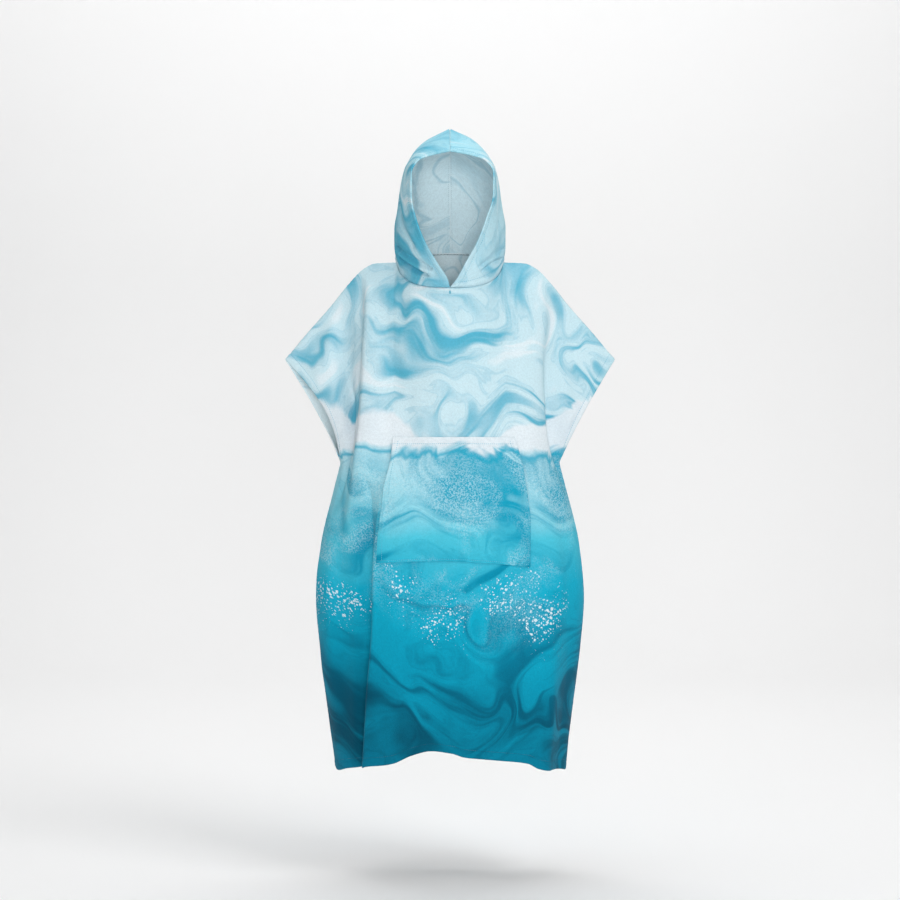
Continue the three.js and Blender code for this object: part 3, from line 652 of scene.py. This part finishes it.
def plain_reverse(name, shift):
    """The inner face: pale grey, with the dye showing through a little where it is strong."""
    n = Nodes(name)
    _, _, strand = marbling(n, shift)
    vein = n.span(n.apart(strand, 0.5), 0.034, 0.0, 0.0, 0.4)
    share = n.maths("MAXIMUM", vein, n.span(strand, 0.34, 0.50, 0.26, 0.0))
    return pile(n, n.mix(share, colour(226, 243, 248), colour(116, 182, 202)), 0.0009)


def sewing_thread(name, tint):
    """Spun thread, dull, with its twist as fine ridges and a little wear."""
    n = Nodes(name)
    place = n.add("TexCoord", {}).outputs["Object"]
    twist = n.add("TexWave", {"Vector": place, "Scale": 900.0, "Distortion": 1.5, "Detail": 1.0})
    worn = n.span(n.noise(place, 60.0, 2.0), 0.35, 0.75, 0.0, 0.16)
    bump = n.add("Bump", {"Strength": 0.4, "Distance": 0.0002, "Height": twist.outputs["Fac"]})
    return n.surface({
        "Base Color": n.mix(worn, tint, colour(196, 214, 220)), "Roughness": 0.75,
        "Specular IOR Level": 0.12, "Normal": bump.outputs[0], "Sheen Weight": 0.03})


def panel_columns(panel):
    """The columns of a panel, closer together at the sides, the seams and the lap fold."""
    near = EDGE_STEPS / PANEL_HALF
    left_steps, strip_steps, neck_steps, right_steps = panel["steps"]
    left = np.linspace(-1, -NECK_SHARE, left_steps + 1)
    if panel["lap"]:
        start, end = panel["strip"]
        spread = 1 - (1 - np.linspace(0, 1, left_steps + 1)) ** PANEL_ROWS["side_bunch"]
        left = np.concatenate([-1 + (start + 1) * spread, np.linspace(start, end, strip_steps + 1)])
    left = left[(left > -1 + near[-1]) & (left < -NECK_SHARE)]
    neck = np.linspace(-NECK_SHARE, NECK_SHARE, neck_steps + 1)
    right = np.linspace(NECK_SHARE, 1, right_steps + 1)[1:]
    right = right[right < 1 - near[-1]]
    return steps(left, neck, right, near - 1, 1 - near, digits=7)


def panel_rows():
    """The rows of a panel, closer together at the upper seam and at the hem."""
    top = EDGE_STEPS[:7] / YOKE_LENGTH
    hem = 2 - EDGE_STEPS / (HEM_DROP - UNDERARM_DROP)
    yoke = np.linspace(0, 1, PANEL_ROWS["yoke"]) ** PANEL_ROWS["yoke_bunch"]
    skirt = np.linspace(1, 2, PANEL_ROWS["skirt"])
    return steps(yoke[yoke > top[-1]], skirt[skirt < hem[-1]], top, hem, digits=7)


def sew_panel(name, panel, materials):
    """Builds a panel, and returns it with the lines where its hem and its sleeves are stitched."""
    home, down = np.meshgrid(panel_columns(panel), panel_rows())
    face = panel_face(panel, home, down)
    out = panel_normal(panel, home, down)
    middle = nearest(home[0], 0)
    across, length = along(face, 1), along(face, 0)
    flat = points(across - across[:, middle:middle + 1], face[:1, :, 2] - length,
                  panel["facing"] * CUT_APART)
    to_hem = from_end(length, 0)
    to_left, to_right = (np.where(down <= 1, run, FAR) for run in (across, from_end(across, 1)))
    hem = hem_profile(np.minimum(np.minimum(to_hem, to_left), to_right))
    side = np.where(down >= 1, np.minimum(across, from_end(across, 1)), FAR)
    seam = seam_profile(side, length) + seam_profile(length, across)
    outer = face + out * (hem + seam)[..., None]
    inner = face - out * (CLOTH + INNER_SHARE * np.maximum(hem, INNER_LIMIT))[..., None]
    for grid in (outer, inner):
        limit = panel["facing"] * SEAM_GAP / 2
        grid[..., 1] = (np.minimum if panel["facing"] < 0 else np.maximum)(grid[..., 1], limit)
    piece = cloth_piece(name, outer, inner, flat, to_hem < HEM_WIDTH, panel["facing"] > 0, materials)
    row = nearest(to_hem[:, middle], HEM_STITCH)
    lines = [(outer[row, ENDS], out[row, ENDS])]
    yoke = down[:, 0] < 1
    for distance in (to_left, to_right):
        column = nearest(distance[SLEEVE_ROW], HEM_STITCH)
        lines.append((outer[yoke, column][3:-1], out[yoke, column][3:-1]))
    return piece, lines


# How far below the neck seam the two rows of overlocking lie, and the length of cloth under the neck.
OVERLOCK_BELOW = (0.4, 1.6)
NECK_REACH = 260.0


def neck_overlock(panel):
    """The overlocked edges of the neck seam, which are turned down and lie inside a panel."""
    share = np.linspace(-NECK_SHARE, NECK_SHARE, 90)[4:-4]
    rows = []
    for below in OVERLOCK_BELOW:
        down = np.full(share.shape, below / NECK_REACH)
        out = panel_normal(panel, share, down)
        rows.append((panel_face(panel, share, down) - out * CLOTH, -out))
    return rows


hem_thread = sewing_thread("teal_hem_thread", colour(8, 78, 104))
cuff_thread = sewing_thread("aqua_sleeve_thread", colour(70, 168, 196))
grey_thread = sewing_thread("grey_overlock_thread", colour(92, 122, 134))


def make_panel(side, panel, materials):
    """One panel with its hem stitched in deep teal, its sleeves in aqua and its neck overlocked."""
    cloth, lines = sew_panel(f"{side}_panel_cloth", panel, materials)
    hem = thread_piece(f"{side}_hem_stitches", lines[:1], hem_thread, 0.36)
    cuffs = thread_piece(f"{side}_sleeve_stitches", lines[1:], cuff_thread, 0.36)
    overlock = thread_piece(
        f"{side}_neck_overlock", neck_overlock(panel), grey_thread, 0.6, 2.6, 0.6)
    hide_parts(f"{side}_panel")


BACK = {
    "facing": 1, "depth": "back", "hem": BACK_HEM, "folds": BACK_FOLDS, "creases": BACK_CREASES,
    "lap": None, "stand": 34, "left_in": 5, "right_in": 12, "reach": 0.62, "steps": (56, 0, 60, 56),
}
BACK_SHIFT = (3.1, 0.0, 1.7)
back_faces = [printed_towelling("back_printed_towelling", BACK_SHIFT),
              plain_reverse("back_plain_reverse", BACK_SHIFT)]
make_panel("back", BACK, back_faces)

# Front panel.
# It is cut like the back, with a lower neckline. It hangs from the shoulders in a deep trough beside the
# left sleeve and laps over itself down the left side, because the body is wider than what fills it.

FRONT_HEM = table("share lift", [
    (-1, 10), (-0.93, 5), (-0.85, 6), (-0.7, 14), (-0.52, 22), (-0.44, 30), (-0.35, 33), (-0.28, 37),
    (-0.18, 52), (-0.08, 60), (0, 56), (0.06, 48), (0.22, 41), (0.43, 32), (0.5, 21), (0.6, 15), (0.82, 10),
    (0.93, 6), (1, 11)])
FRONT_FOLDS = [
    table(FOLD, [(25, -0.53, 0, 0.08, 0.06), (130, -0.62, -16, 0.08, 0.09), (230, -0.715, -26, 0.09, 0.09),
                 (290, -0.76, -28, 0.08, 0.075), (430, -0.82, -20, 0.07, 0.055),
                 (560, -0.82, 0, 0.08, 0.07)]),
    table(FOLD, [(40, -0.46, 0, 0.05, 0.09), (200, -0.5, 12, 0.05, 0.12), (400, -0.56, 20, 0.06, 0.14),
                 (520, -0.58, 12, 0.07, 0.14), (640, -0.6, 0, 0.08, 0.14)]),
    table(FOLD, [(60, 0.6, 0, 0.05, 0.14), (200, 0.64, -18, 0.045, 0.16), (340, 0.75, -30, 0.05, 0.16),
                 (440, 0.86, -16, 0.06, 0.1), (520, 0.9, 0, 0.08, 0.1)]),
    table(FOLD, [(700, -0.08, 0, 0.16, 0.2), (900, -0.1, -9, 0.15, 0.2), (HEM_DROP, -0.1, -20, 0.14, 0.2)]),
    table(FOLD, [(560, 0.5, 0, 0.12, 0.1), (820, 0.53, 8, 0.12, 0.09), (HEM_DROP, 0.56, 14, 0.12, 0.08)]),
    table(FOLD, [(640, 0.72, 0, 0.08, 0.1), (900, 0.74, -4, 0.07, 0.1), (HEM_DROP, 0.76, -6, 0.07, 0.1)]),
]
FRONT_CREASES = table(CREASE, [
    (-118, -16, -128, -150, -116, -300, -1.2, 20, 24),
    (-80, -62, -96, -190, -104, -370, 2.4, 18, 14),
    (-40, -72, -30, -150, -44, -250, -1.8, 20, 16),
    (112, -14, 134, -150, 152, -340, -1.6, 22, 18),
    (60, -70, 84, -170, 96, -300, 2.0, 18, 20),
    (-232, -62, -262, -170, -292, -258, 3.4, 14, 18),
    (-193, -46, -197, -230, -216, -470, -8.0, 17, 8),
    (-180, -60, -184, -240, -196, -430, 2.2, 8, 15),
    (-196, -30, -204, -90, -200, -170, -4.5, 10, 9),
    (242, -74, 284, -180, 306, -272, -3.2, 14, 18),
    (196, -30, 204, -110, 224, -220, 3.0, 12, 10),
    (262, -250, 250, -330, 238, -410, -3.2, 11, 12),
    (-236, -470, -250, -700, -232, -1060, -4.6, 15, 20),
    (-262, -560, -272, -740, -258, -980, 3.0, 12, 12),
    (-206, -640, -214, -860, -206, -1090, 3.4, 12, 14),
    (-110, -690, -120, -870, -124, -1070, 3.6, 18, 22),
    (-34, -690, -46, -850, -44, -1050, -3.4, 20, 24),
    (44, -690, 62, -870, 58, -1055, -3.6, 22, 18),
    (126, -690, 142, -860, 150, -1070, 3.4, 18, 16),
    (226, -480, 262, -640, 256, -860, -3.8, 14, 18),
    (196, -600, 214, -800, 214, -1080, 2.8, 14, 12),
    (-128, -402, 0, -432, 128, -400, -2.0, 10, 14),
    (-96, -330, -40, -352, 30, -344, -1.6, 12, 16),
    (150, -400, 166, -470, 160, -560, -2.4, 9, 12),
])
LAP_RADIUS = 8.0
LAP_FADE = 0.34
LAP_TURN_WEIGHT = 1.8
LAP_EDGE = 0.03
LAP_STARTS = (440, 560)
LAP = table("drop share turn length", [
    (0, -0.465, 0, 72), (70, -0.465, 0, 72), (430, -0.435, 0, 62), (520, -0.385, 34, 24),
    (640, -0.35, 88, 20), (800, -0.315, 128, 34), (960, -0.33, 156, 56), (HEM_DROP, -0.375, 168, 72)])



def lap_state(drop):
    """The lap fold at a height: two equal turns with a straight stretch between them."""
    turn = np.radians(curve(LAP, "turn", drop))
    length = curve(LAP, "length", drop)
    run = 2 * LAP_RADIUS * np.sin(turn) + length * np.cos(turn)
    rise = 2 * LAP_RADIUS * (1 - np.cos(turn)) + length * np.sin(turn)
    centre = curve(LAP, "share", drop)
    near = section(FRONT, centre + 0.01, drop) - section(FRONT, centre - 0.01, drop)
    per_share = np.linalg.norm(near, axis=-1) / 0.02
    start, end = centre - run / 2 / per_share, centre + run / 2 / per_share
    return {"turn": turn, "length": length, "run": run, "rise": rise, "centre": centre,
            "per_share": per_share, "start": start, "end": end}


def lap_fold(home, drop):
    """Where the cloth of the lap fold lies: its share, its rise, and how far it is in the strip."""
    lap = lap_state(drop)
    turn, length, start, end = lap["turn"], lap["length"], lap["start"], lap["end"]
    home_start, home_end = FRONT["strip"]
    reach = LAP_RADIUS * LAP_TURN_WEIGHT
    at = np.clip((home - home_start) / (home_end - home_start), 0, 1) * (2 * reach * turn + length)
    into = np.clip(at / reach, 0, turn)
    straight = np.clip(at - reach * turn, 0, length)
    out_of = np.clip((at - reach * turn - length) / reach, 0, turn)
    x = LAP_RADIUS * np.sin(into) + straight * np.cos(turn)
    x = x + LAP_RADIUS * (np.sin(turn) - np.sin(turn - out_of))
    y = LAP_RADIUS * (1 - np.cos(into)) + straight * np.sin(turn)
    y = y + LAP_RADIUS * (np.cos(turn - out_of) - np.cos(turn))
    before, after = home < home_start, home > home_end
    share = lap["centre"] + (x - lap["run"] / 2) / lap["per_share"]
    share = np.where(before, -1 + (start + 1) * (home + 1) / (home_start + 1), share)
    share = np.where(after, np.where(home < 0, end * home / home_end, home), share)
    half_rise = lap["rise"] / 2
    side = -half_rise * swell(start - share, LAP_FADE) * (1 - smoothstep(-share, 0.75, 1))
    chest = half_rise * swell(share - end, LAP_FADE)
    height = np.where(before, side, np.where(after, chest, y - half_rise))
    strip = np.minimum(smoothstep(home, home_start - LAP_EDGE, home_start),
                       smoothstep(-home, -home_end - LAP_EDGE, -home_end))
    return share, height, strip * smoothstep(drop, *LAP_STARTS)


FRONT = {
    "facing": -1, "depth": "front", "hem": FRONT_HEM, "folds": FRONT_FOLDS, "creases": FRONT_CREASES,
    "lap": lap_fold, "stand": 30, "left_in": 28, "right_in": 6, "reach": 0.62, "steps": (44, 52, 64, 56),
}
top_of_lap = lap_state(np.array(0.0))
FRONT["strip"] = (float(top_of_lap["start"]), float(top_of_lap["end"]))
FRONT_SHIFT = (0.0, 0.0, 0.0)
front_faces = [printed_towelling("front_printed_towelling", FRONT_SHIFT),
               plain_reverse("front_plain_reverse", FRONT_SHIFT)]
# A short bar of thread strengthens the throat, where the two halves of the hood meet.
THROAT_BAR = {"half": 2.2, "rows": 10, "apart": 1.1, "out": 0.5}
thread = sewing_thread("aqua_sewing_thread", colour(92, 176, 200))
throat = neck_point(np.array(180.0)) + np.array([0, -0.4, -3.0])
bar = []
for row in range(THROAT_BAR["rows"]):
    fall = THROAT_BAR["apart"] * row
    ends = [throat + (side * THROAT_BAR["half"], -THROAT_BAR["out"] * fall, -fall) for side in (-1, 1)]
    bar.append((np.array(ends), np.array([(0, -1.0, 0.2)] * 2)))
throat_bar = thread_piece("throat_bar", bar, thread, 0.6, 4.0, 0.2)
make_panel("front", FRONT, front_faces)

# Hood.
# Two matching halves of the same towelling, joined by a seam over the crown and down the back, and sewn
# to the neckline. The face edge is a turned hem with one row of stitching, and a stitched band runs
# along the neckline.

HOOD = table("row back_y back_z side_z half left_rim right_rim rim_y rim_z", [
    (0, 73, 25, 0, 116, 0, 0, -97, -64), (0.05, 76, 38, 10, 119, 5, 14, -103, -47),
    (0.13, 86, 61, 32, 122, 26, 32, -110, -15), (0.27, 105, 98, 72, 122, 53, 58, -117, 30),
    (0.42, 119, 138, 116, 116, 73, 78, -119, 80), (0.57, 122, 176, 160, 110, 84, 94, -117, 132),
    (0.71, 115, 209, 201, 101, 84, 95, -112, 180), (0.83, 103, 235, 237, 82, 66, 74, -106, 211),
    (0.92, 91, 251, 266, 53, 32, 37, -101, 223), (1, 79, 263, 293, 0, 0, 0, -98, 230)])
HOOD_HEM = 17.0
HOOD_STITCH = 13.0
HOOD_BAND = {"width": 14.0, "raised": 1.9, "sunk": -1.3, "sunk_reach": 1.9}
HOOD_RAISE = 0.6
HOOD_CORNER = 0.01
HOOD_WAVES = {"size": 0.2, "across": 1.7, "up": 1.4, "apart": 90}
HOOD_SIDE = 330.0
HOOD_STEPS = np.array([0, 1.2, 2.6, 4.5, 7, 10, 12, 13, 14, 16, 18, 21])
HOOD_SEAM_STITCH = 4.5
HOOD_CREASED = (0.03, 0.19)
# Where a half lies on the cut cloth, which sets the part of the print that it shows.
HOOD_CUT = {"across": -40, "stretch": 0.75, "up": 30, "apart": 25}
# The hood's creases, for each half: the places are its share of the way round and up.
LEFT_CREASES = table("round0 row0 round1 row1 round2 row2 depth width", [
    (0.64, 0.092, 0.74, 0.07, 0.88, 0.056, -12.0, 5), (0.60, 0.15, 0.75, 0.15, 0.93, 0.10, -8.0, 7),
    (0.62, 0.12, 0.75, 0.105, 0.90, 0.078, 4.0, 6), (0.72, 0.50, 0.78, 0.36, 0.87, 0.22, -6.0, 12),
    (0.80, 0.60, 0.85, 0.42, 0.93, 0.24, 2.0, 8), (0.20, 0.10, 0.26, 0.26, 0.24, 0.44, -2.4, 14),
    (0.10, 0.55, 0.30, 0.62, 0.44, 0.55, 1.6, 16)])
RIGHT_CREASES = table("round0 row0 round1 row1 round2 row2 depth width", [
    (0.64, 0.07, 0.73, 0.09, 0.84, 0.07, -7.0, 6), (0.63, 0.13, 0.75, 0.14, 0.88, 0.10, -5.0, 8),
    (0.66, 0.26, 0.70, 0.20, 0.78, 0.15, -2.2, 12), (0.72, 0.56, 0.78, 0.40, 0.84, 0.24, -2.0, 12),
    (0.24, 0.08, 0.22, 0.22, 0.28, 0.38, -2.2, 13), (0.12, 0.48, 0.28, 0.56, 0.42, 0.52, 1.6, 15)])


def hood_face(rim, around, row):
    """A half, as on the left: round is 0 at the middle of the back and 1 at the face edge."""
    around, row = np.broadcast_arrays(np.asarray(around, float), np.asarray(row, float))
    half, rim_x = (curve(HOOD, name, row) for name in ("half", rim))
    reach = np.where(row >= 1, 0.85, np.clip(rim_x / np.maximum(half, 1e-6), 0, 0.97))
    end = math.pi - np.arcsin(reach)
    angle = around * end
    to_back = np.maximum(np.cos(angle), 0)
    forward = np.clip(np.cos(angle) / np.cos(end), 0, 1)
    side_z = curve(HOOD, "side_z", row)
    z = side_z + (curve(HOOD, "back_z", row) - side_z) * to_back ** 1.5
    z = z + (curve(HOOD, "rim_z", row) - side_z) * forward ** 1.3
    y = curve(HOOD, "back_y", row) * to_back + curve(HOOD, "rim_y", row) * forward
    return points(-half * np.sin(angle), y, z)


def hood_creases(rim, creases, around, face):
    depth = np.zeros(np.shape(around))
    for crease in rows_of(creases):
        closest = np.full(np.shape(around), FAR)
        for t in np.linspace(0, 1, 25):
            centre = hood_face(rim, *on_crease(crease, ("round", "row"), t))
            narrowing = 1 + 1.2 * (2 * t - 1) ** 4
            closest = np.minimum(closest, np.linalg.norm(face - centre, axis=-1) * narrowing)
        depth += crease["depth"] * swell(closest, crease["width"])
    return depth


def sew_hood(name, hand, creases, materials):
    """Builds one half of the hood, and returns it with its lines of stitching, outside and inside."""
    near = HOOD_STEPS / HOOD_SIDE
    columns = steps(np.linspace(0, 1, 92), near[:6], 1 - near)
    rows = steps(np.linspace(0, 1, 104), np.linspace(*HOOD_CREASED, 40), near[:8], 1 - near[:8])
    around, row = np.meshgrid(columns, rows)
    rim = "left_rim" if hand > 0 else "right_rim"
    face = hood_face(rim, around, row)
    face[0] = neck_point(180 * columns)
    out = outward(lambda a, b: hood_face(rim, a, b), np.maximum(around, HOOD_CORNER),
                  np.minimum(row, 1 - HOOD_CORNER), (0, 0), (1, 1), 1)
    on_seam = (around == 0) | (row == 1)
    out = np.where(on_seam[..., None], unit(out * (0, 1, 1)), out)
    out[0] = neck_mitre(180 * columns)
    across, up = along(face, 1), along(face, 0)
    to_rim, to_crown = from_end(across, 1), from_end(up, 0)
    hem = hem_profile(to_rim, HOOD_STITCH, HOOD_HEM)
    seam = seam_profile(across, up) + 0.6 * seam_profile(to_crown, across) + seam_profile(up, across)
    fade = smoothstep(up, 0, 10) * smoothstep(to_rim, 0, 12)
    fade = fade * smoothstep(across, 0, 14) * smoothstep(to_crown, 0, 14)
    width = HOOD_BAND["width"]
    band = HOOD_BAND["raised"] * (1 - smoothstep(up, width - 1, width + 4)) * smoothstep(up, 0, 4)
    band = (band + HOOD_BAND["sunk"] * swell(up - width, HOOD_BAND["sunk_reach"])) * smoothstep(to_rim, 0, 6)
    waves = wave_depth(across * HOOD_WAVES["across"] + HOOD_WAVES["apart"] * hand, up * HOOD_WAVES["up"])
    soft = (hood_creases(rim, creases, around, face) + HOOD_WAVES["size"] * waves) * fade
    outer = face + out * (hem + seam + band + soft)[..., None]
    inner = face - out * (CLOTH + INNER_SHARE * np.maximum(hem, INNER_LIMIT) - 0.9 * soft)[..., None]
    for grid in (outer, inner):
        grid[..., 2] += HOOD_RAISE
        grid[..., 0] = hand * np.minimum(grid[..., 0], -SEAM_GAP / 2)
    out = out * (hand, 1, 1)
    flat = points(hand * (across - across[:, -1:] + HOOD_CUT["across"]),
                  up * HOOD_CUT["stretch"] + HOOD_CUT["up"], HOOD_CUT["apart"] * hand)
    piece = cloth_piece(name, outer, inner, flat, to_rim < HOOD_HEM, hand > 0, materials)
    half_up = len(rows) // 2
    column = nearest(to_rim[half_up], HOOD_STITCH)
    ledge = nearest(up[:, -1], width)
    lines = [(outer[ENDS, column], out[ENDS, column]), (outer[ledge, ENDS], out[ledge, ENDS])]
    inside = nearest(across[half_up], HOOD_SEAM_STITCH)
    return piece, lines, [(inner[6:-6, inside], -out[6:-6, inside])]


HOOD_SHIFT = (1.3, 0.0, 0.6)
hood_faces = [printed_towelling("hood_printed_towelling", HOOD_SHIFT, 0.6),
              plain_reverse("hood_plain_reverse", HOOD_SHIFT)]
pale_thread = sewing_thread("pale_seam_thread", colour(178, 200, 207))
for side, hand, creases in (("left", 1, LEFT_CREASES), ("right", -1, RIGHT_CREASES)):
    half, lines, inner_lines = sew_hood(f"hood_{side}_cloth", hand, creases, hood_faces)
    stitches = thread_piece(f"hood_{side}_stitches", lines, thread)
    seam = thread_piece(f"hood_{side}_seam_stitches", inner_lines, pale_thread, 0.4)
    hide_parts(f"hood_{side}")

# Pocket.
# One wide patch of the same towelling, sewn on at its top, its bottom and the lower part of its sides.
# Above that its sides slant in and are left open for the hands, with a turned hem.

POCKET = table("drop left right", [(386, -136, 145), (505, -152, 166), (560, -155, 172), (656, -155, 171)])
POCKET_SAG = {"middle": -9, "right": 8}
POCKET_SEAM = 0.9
POCKET_CLEAR = 0.006
POCKET_OPEN = 520.0
# The pocket stands off the front a little in its middle and at its hand openings.
POCKET_STANDS = {"middle": 1.6, "hand": 2.6, "hand_reach": 45.0}
POCKET_TOP = {"stitch": 14.0, "width": 17.0}
POCKET_EDGE = {"stitch": 4.5, "width": 9.0}
POCKET_SIZE = {"across": 320.0, "down": 270.0}
POCKET_CUT = {"across": 260, "down": -30, "apart": 4}
POCKET_THIN = -1.1


def pocket_place(across, down):
    """The home place and the way down the front of a place on the pocket."""
    straight = POCKET["drop"][0] + (POCKET["drop"][-1] - POCKET["drop"][0]) * down
    left, right = curve(POCKET, "left", straight), curve(POCKET, "right", straight)
    sag = POCKET_SAG["middle"] * np.sin(math.pi * across) + POCKET_SAG["right"] * across
    drop = straight + sag * down
    x = left + (right - left) * across
    half = curve(BODY, "half", np.maximum(drop, UNDERARM_DROP))
    share = 2 / math.pi * np.arcsin((np.abs(x) / half) ** (1 / SQUARENESS)) * np.sign(x)
    lap_end = FRONT["strip"][1]
    beside = np.maximum(share * lap_end / lap_state(drop)["end"], lap_end + POCKET_CLEAR)
    above, below = np.zeros(share.shape), np.full(share.shape, 2.0)
    for _ in range(24):
        middle = (above + below) / 2
        higher = -smooth_form(FRONT, share, middle)[..., 2] < drop
        above, below = np.where(higher, middle, above), np.where(higher, below, middle)
    return np.where(share > 0, share, beside), (above + below) / 2, drop


def sew_pocket(name, materials):
    """Builds the pocket on the front, and returns it with the lines where it is stitched."""
    columns, rows = (steps(np.linspace(0, 1, number), EDGE_STEPS / size, 1 - EDGE_STEPS / size)
                     for number, size in ((92, POCKET_SIZE["across"]), (76, POCKET_SIZE["down"])))
    across, down = np.meshgrid(columns, rows)
    home, deep, drop = pocket_place(across, down)
    base, out = panel_face(FRONT, home, deep), panel_normal(FRONT, home, deep)
    run, to_top = along(base, 1), along(base, 0)
    to_side, to_bottom = np.minimum(run, from_end(run, 1)), from_end(to_top, 0)
    is_open = 1 - smoothstep(drop, POCKET_OPEN - 20, POCKET_OPEN + 4)
    is_open = is_open * smoothstep(to_top, 4, 30)
    fullness = POCKET_STANDS["middle"] * np.sin(math.pi * across) * np.sin(math.pi * down)
    hand_room = POCKET_STANDS["hand"] * is_open * np.exp(-to_side / POCKET_STANDS["hand_reach"])
    lift = POCKET_SEAM + fullness + hand_room
    hem = np.where(is_open > 0.5, hem_profile(to_side), 0)
    hem = hem + hem_profile(to_top, **POCKET_TOP) + hem_profile(to_bottom, **POCKET_EDGE)
    hem = hem + np.where(is_open > 0.5, 0, hem_profile(to_side, **POCKET_EDGE))
    outer = base + out * (lift + CLOTH + np.maximum(hem, POCKET_THIN))[..., None]
    inner = base + out * lift[..., None]
    half_across, half_down = len(columns) // 2, len(rows) // 2
    flat = points(run - run[:, half_across:half_across + 1] + POCKET_CUT["across"],
                  POCKET_CUT["down"] - drop, POCKET_CUT["apart"])
    piece = cloth_piece(name, outer, inner, flat, to_side < HEM_WIDTH, False, materials)
    lines = []
    for distances, stitch in ((to_top, POCKET_TOP["stitch"]), (to_bottom, POCKET_EDGE["stitch"])):
        row = nearest(distances[:, half_across], stitch)
        lines.append((outer[row, ENDS], out[row, ENDS]))
    sewn = drop[:, 0] > POCKET_OPEN
    for rows_here, stitch, ends in ((~sewn, HEM_STITCH, slice(6, None)),
                                    (sewn, POCKET_EDGE["stitch"], slice(None, -3))):
        for distance in (stitch, run[half_down, -1] - stitch):
            column = nearest(run[half_down], distance)
            lines.append((outer[rows_here, column][ends], out[rows_here, column][ends]))
    return piece, lines


pocket_faces = [printed_towelling("pocket_printed_towelling", FRONT_SHIFT), front_faces[1]]
pocket, pocket_lines = sew_pocket("pocket_cloth", pocket_faces)
pocket_stitches = thread_piece("pocket_stitches", pocket_lines, thread)
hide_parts("pocket")

# The studio.
# A pale sweep of paper under and behind the poncho, wide soft lights, and a level camera in front.

FLOOR_Z = -1.3376
SWEEP = {"front": -6.0, "back": 5.6, "radius": 1.8, "half": 7.0, "top": 5.0, "steps": 12}
PAPER = (0.87, 0.87, 0.87, 1)


def sweep_of_paper():
    bend = SWEEP["back"] - SWEEP["radius"]
    profile = [(SWEEP["front"], FLOOR_Z), (bend, FLOOR_Z)]
    for angle in np.linspace(0, math.pi / 2, SWEEP["steps"] + 1)[1:]:
        profile.append((bend + SWEEP["radius"] * math.sin(angle),
                        FLOOR_Z + SWEEP["radius"] * (1 - math.cos(angle))))
    profile.append((SWEEP["back"], SWEEP["top"]))
    verts = [(x, y, z) for y, z in profile for x in (-SWEEP["half"], SWEEP["half"])]
    faces = [(2 * k, 2 * k + 1, 2 * k + 3, 2 * k + 2) for k in range(len(profile) - 1)]
    paper = Nodes("pale_paper").surface({"Base Color": PAPER, "Roughness": 1.0, "Specular IOR Level": 0.0})
    add_mesh("paper_sweep", verts, faces, [paper])


def soft_light(name, place, target, size, power):
    lamp = bpy.data.lights.new(name, "AREA")
    lamp.shape = "RECTANGLE"
    lamp.size, lamp.size_y = size
    lamp.energy = power
    holder = add_object(name, lamp)
    holder.location = place
    holder.visible_camera = False
    holder.rotation_euler = (Vector(target) - Vector(place)).to_track_quat("-Z", "Y").to_euler()


sweep_of_paper()
soft_light("key", (3.5, -3.2, 4.2), (0, 0, -0.5), (3.0, 3.0), 150)
soft_light("fill", (-3.2, -4.2, 0.2), (0, 0, -0.5), (2.4, 2.4), 18)
soft_light("front", (0.2, -5.2, -0.2), (0, 0, -0.3), (1.6, 1.6), 116)
soft_light("overhead", (-0.3, 0.2, 3.0), (0, 0, -0.5), (2.4, 2.4), 50)
soft_light("backdrop", (-0.2, 2.6, 4.4), (0, 5.6, -1.4), (7.0, 1.4), 166)
AIR_LIGHT = 0.225
world = bpy.data.worlds.new("studio_air")
world.use_nodes = True
air = world.node_tree.nodes["Background"].inputs
air["Color"].default_value = (1, 1, 1, 1)
air["Strength"].default_value = AIR_LIGHT
bpy.context.scene.world = world
bpy.context.scene.view_settings.view_transform = "Standard"

SENSOR = 36.0
CAMERA_AWAY = 4.5
CAMERA_Z = -0.4136
FRAME_WIDTH = 1.98
camera_data = bpy.data.cameras.new("camera")
camera_data.sensor_width = SENSOR
camera_data.lens = SENSOR * CAMERA_AWAY / FRAME_WIDTH
camera = add_object("camera", camera_data)
camera.location = (0, -CAMERA_AWAY, CAMERA_Z)
camera.rotation_euler = (math.pi / 2, 0, 0)
bpy.context.scene.camera = camera
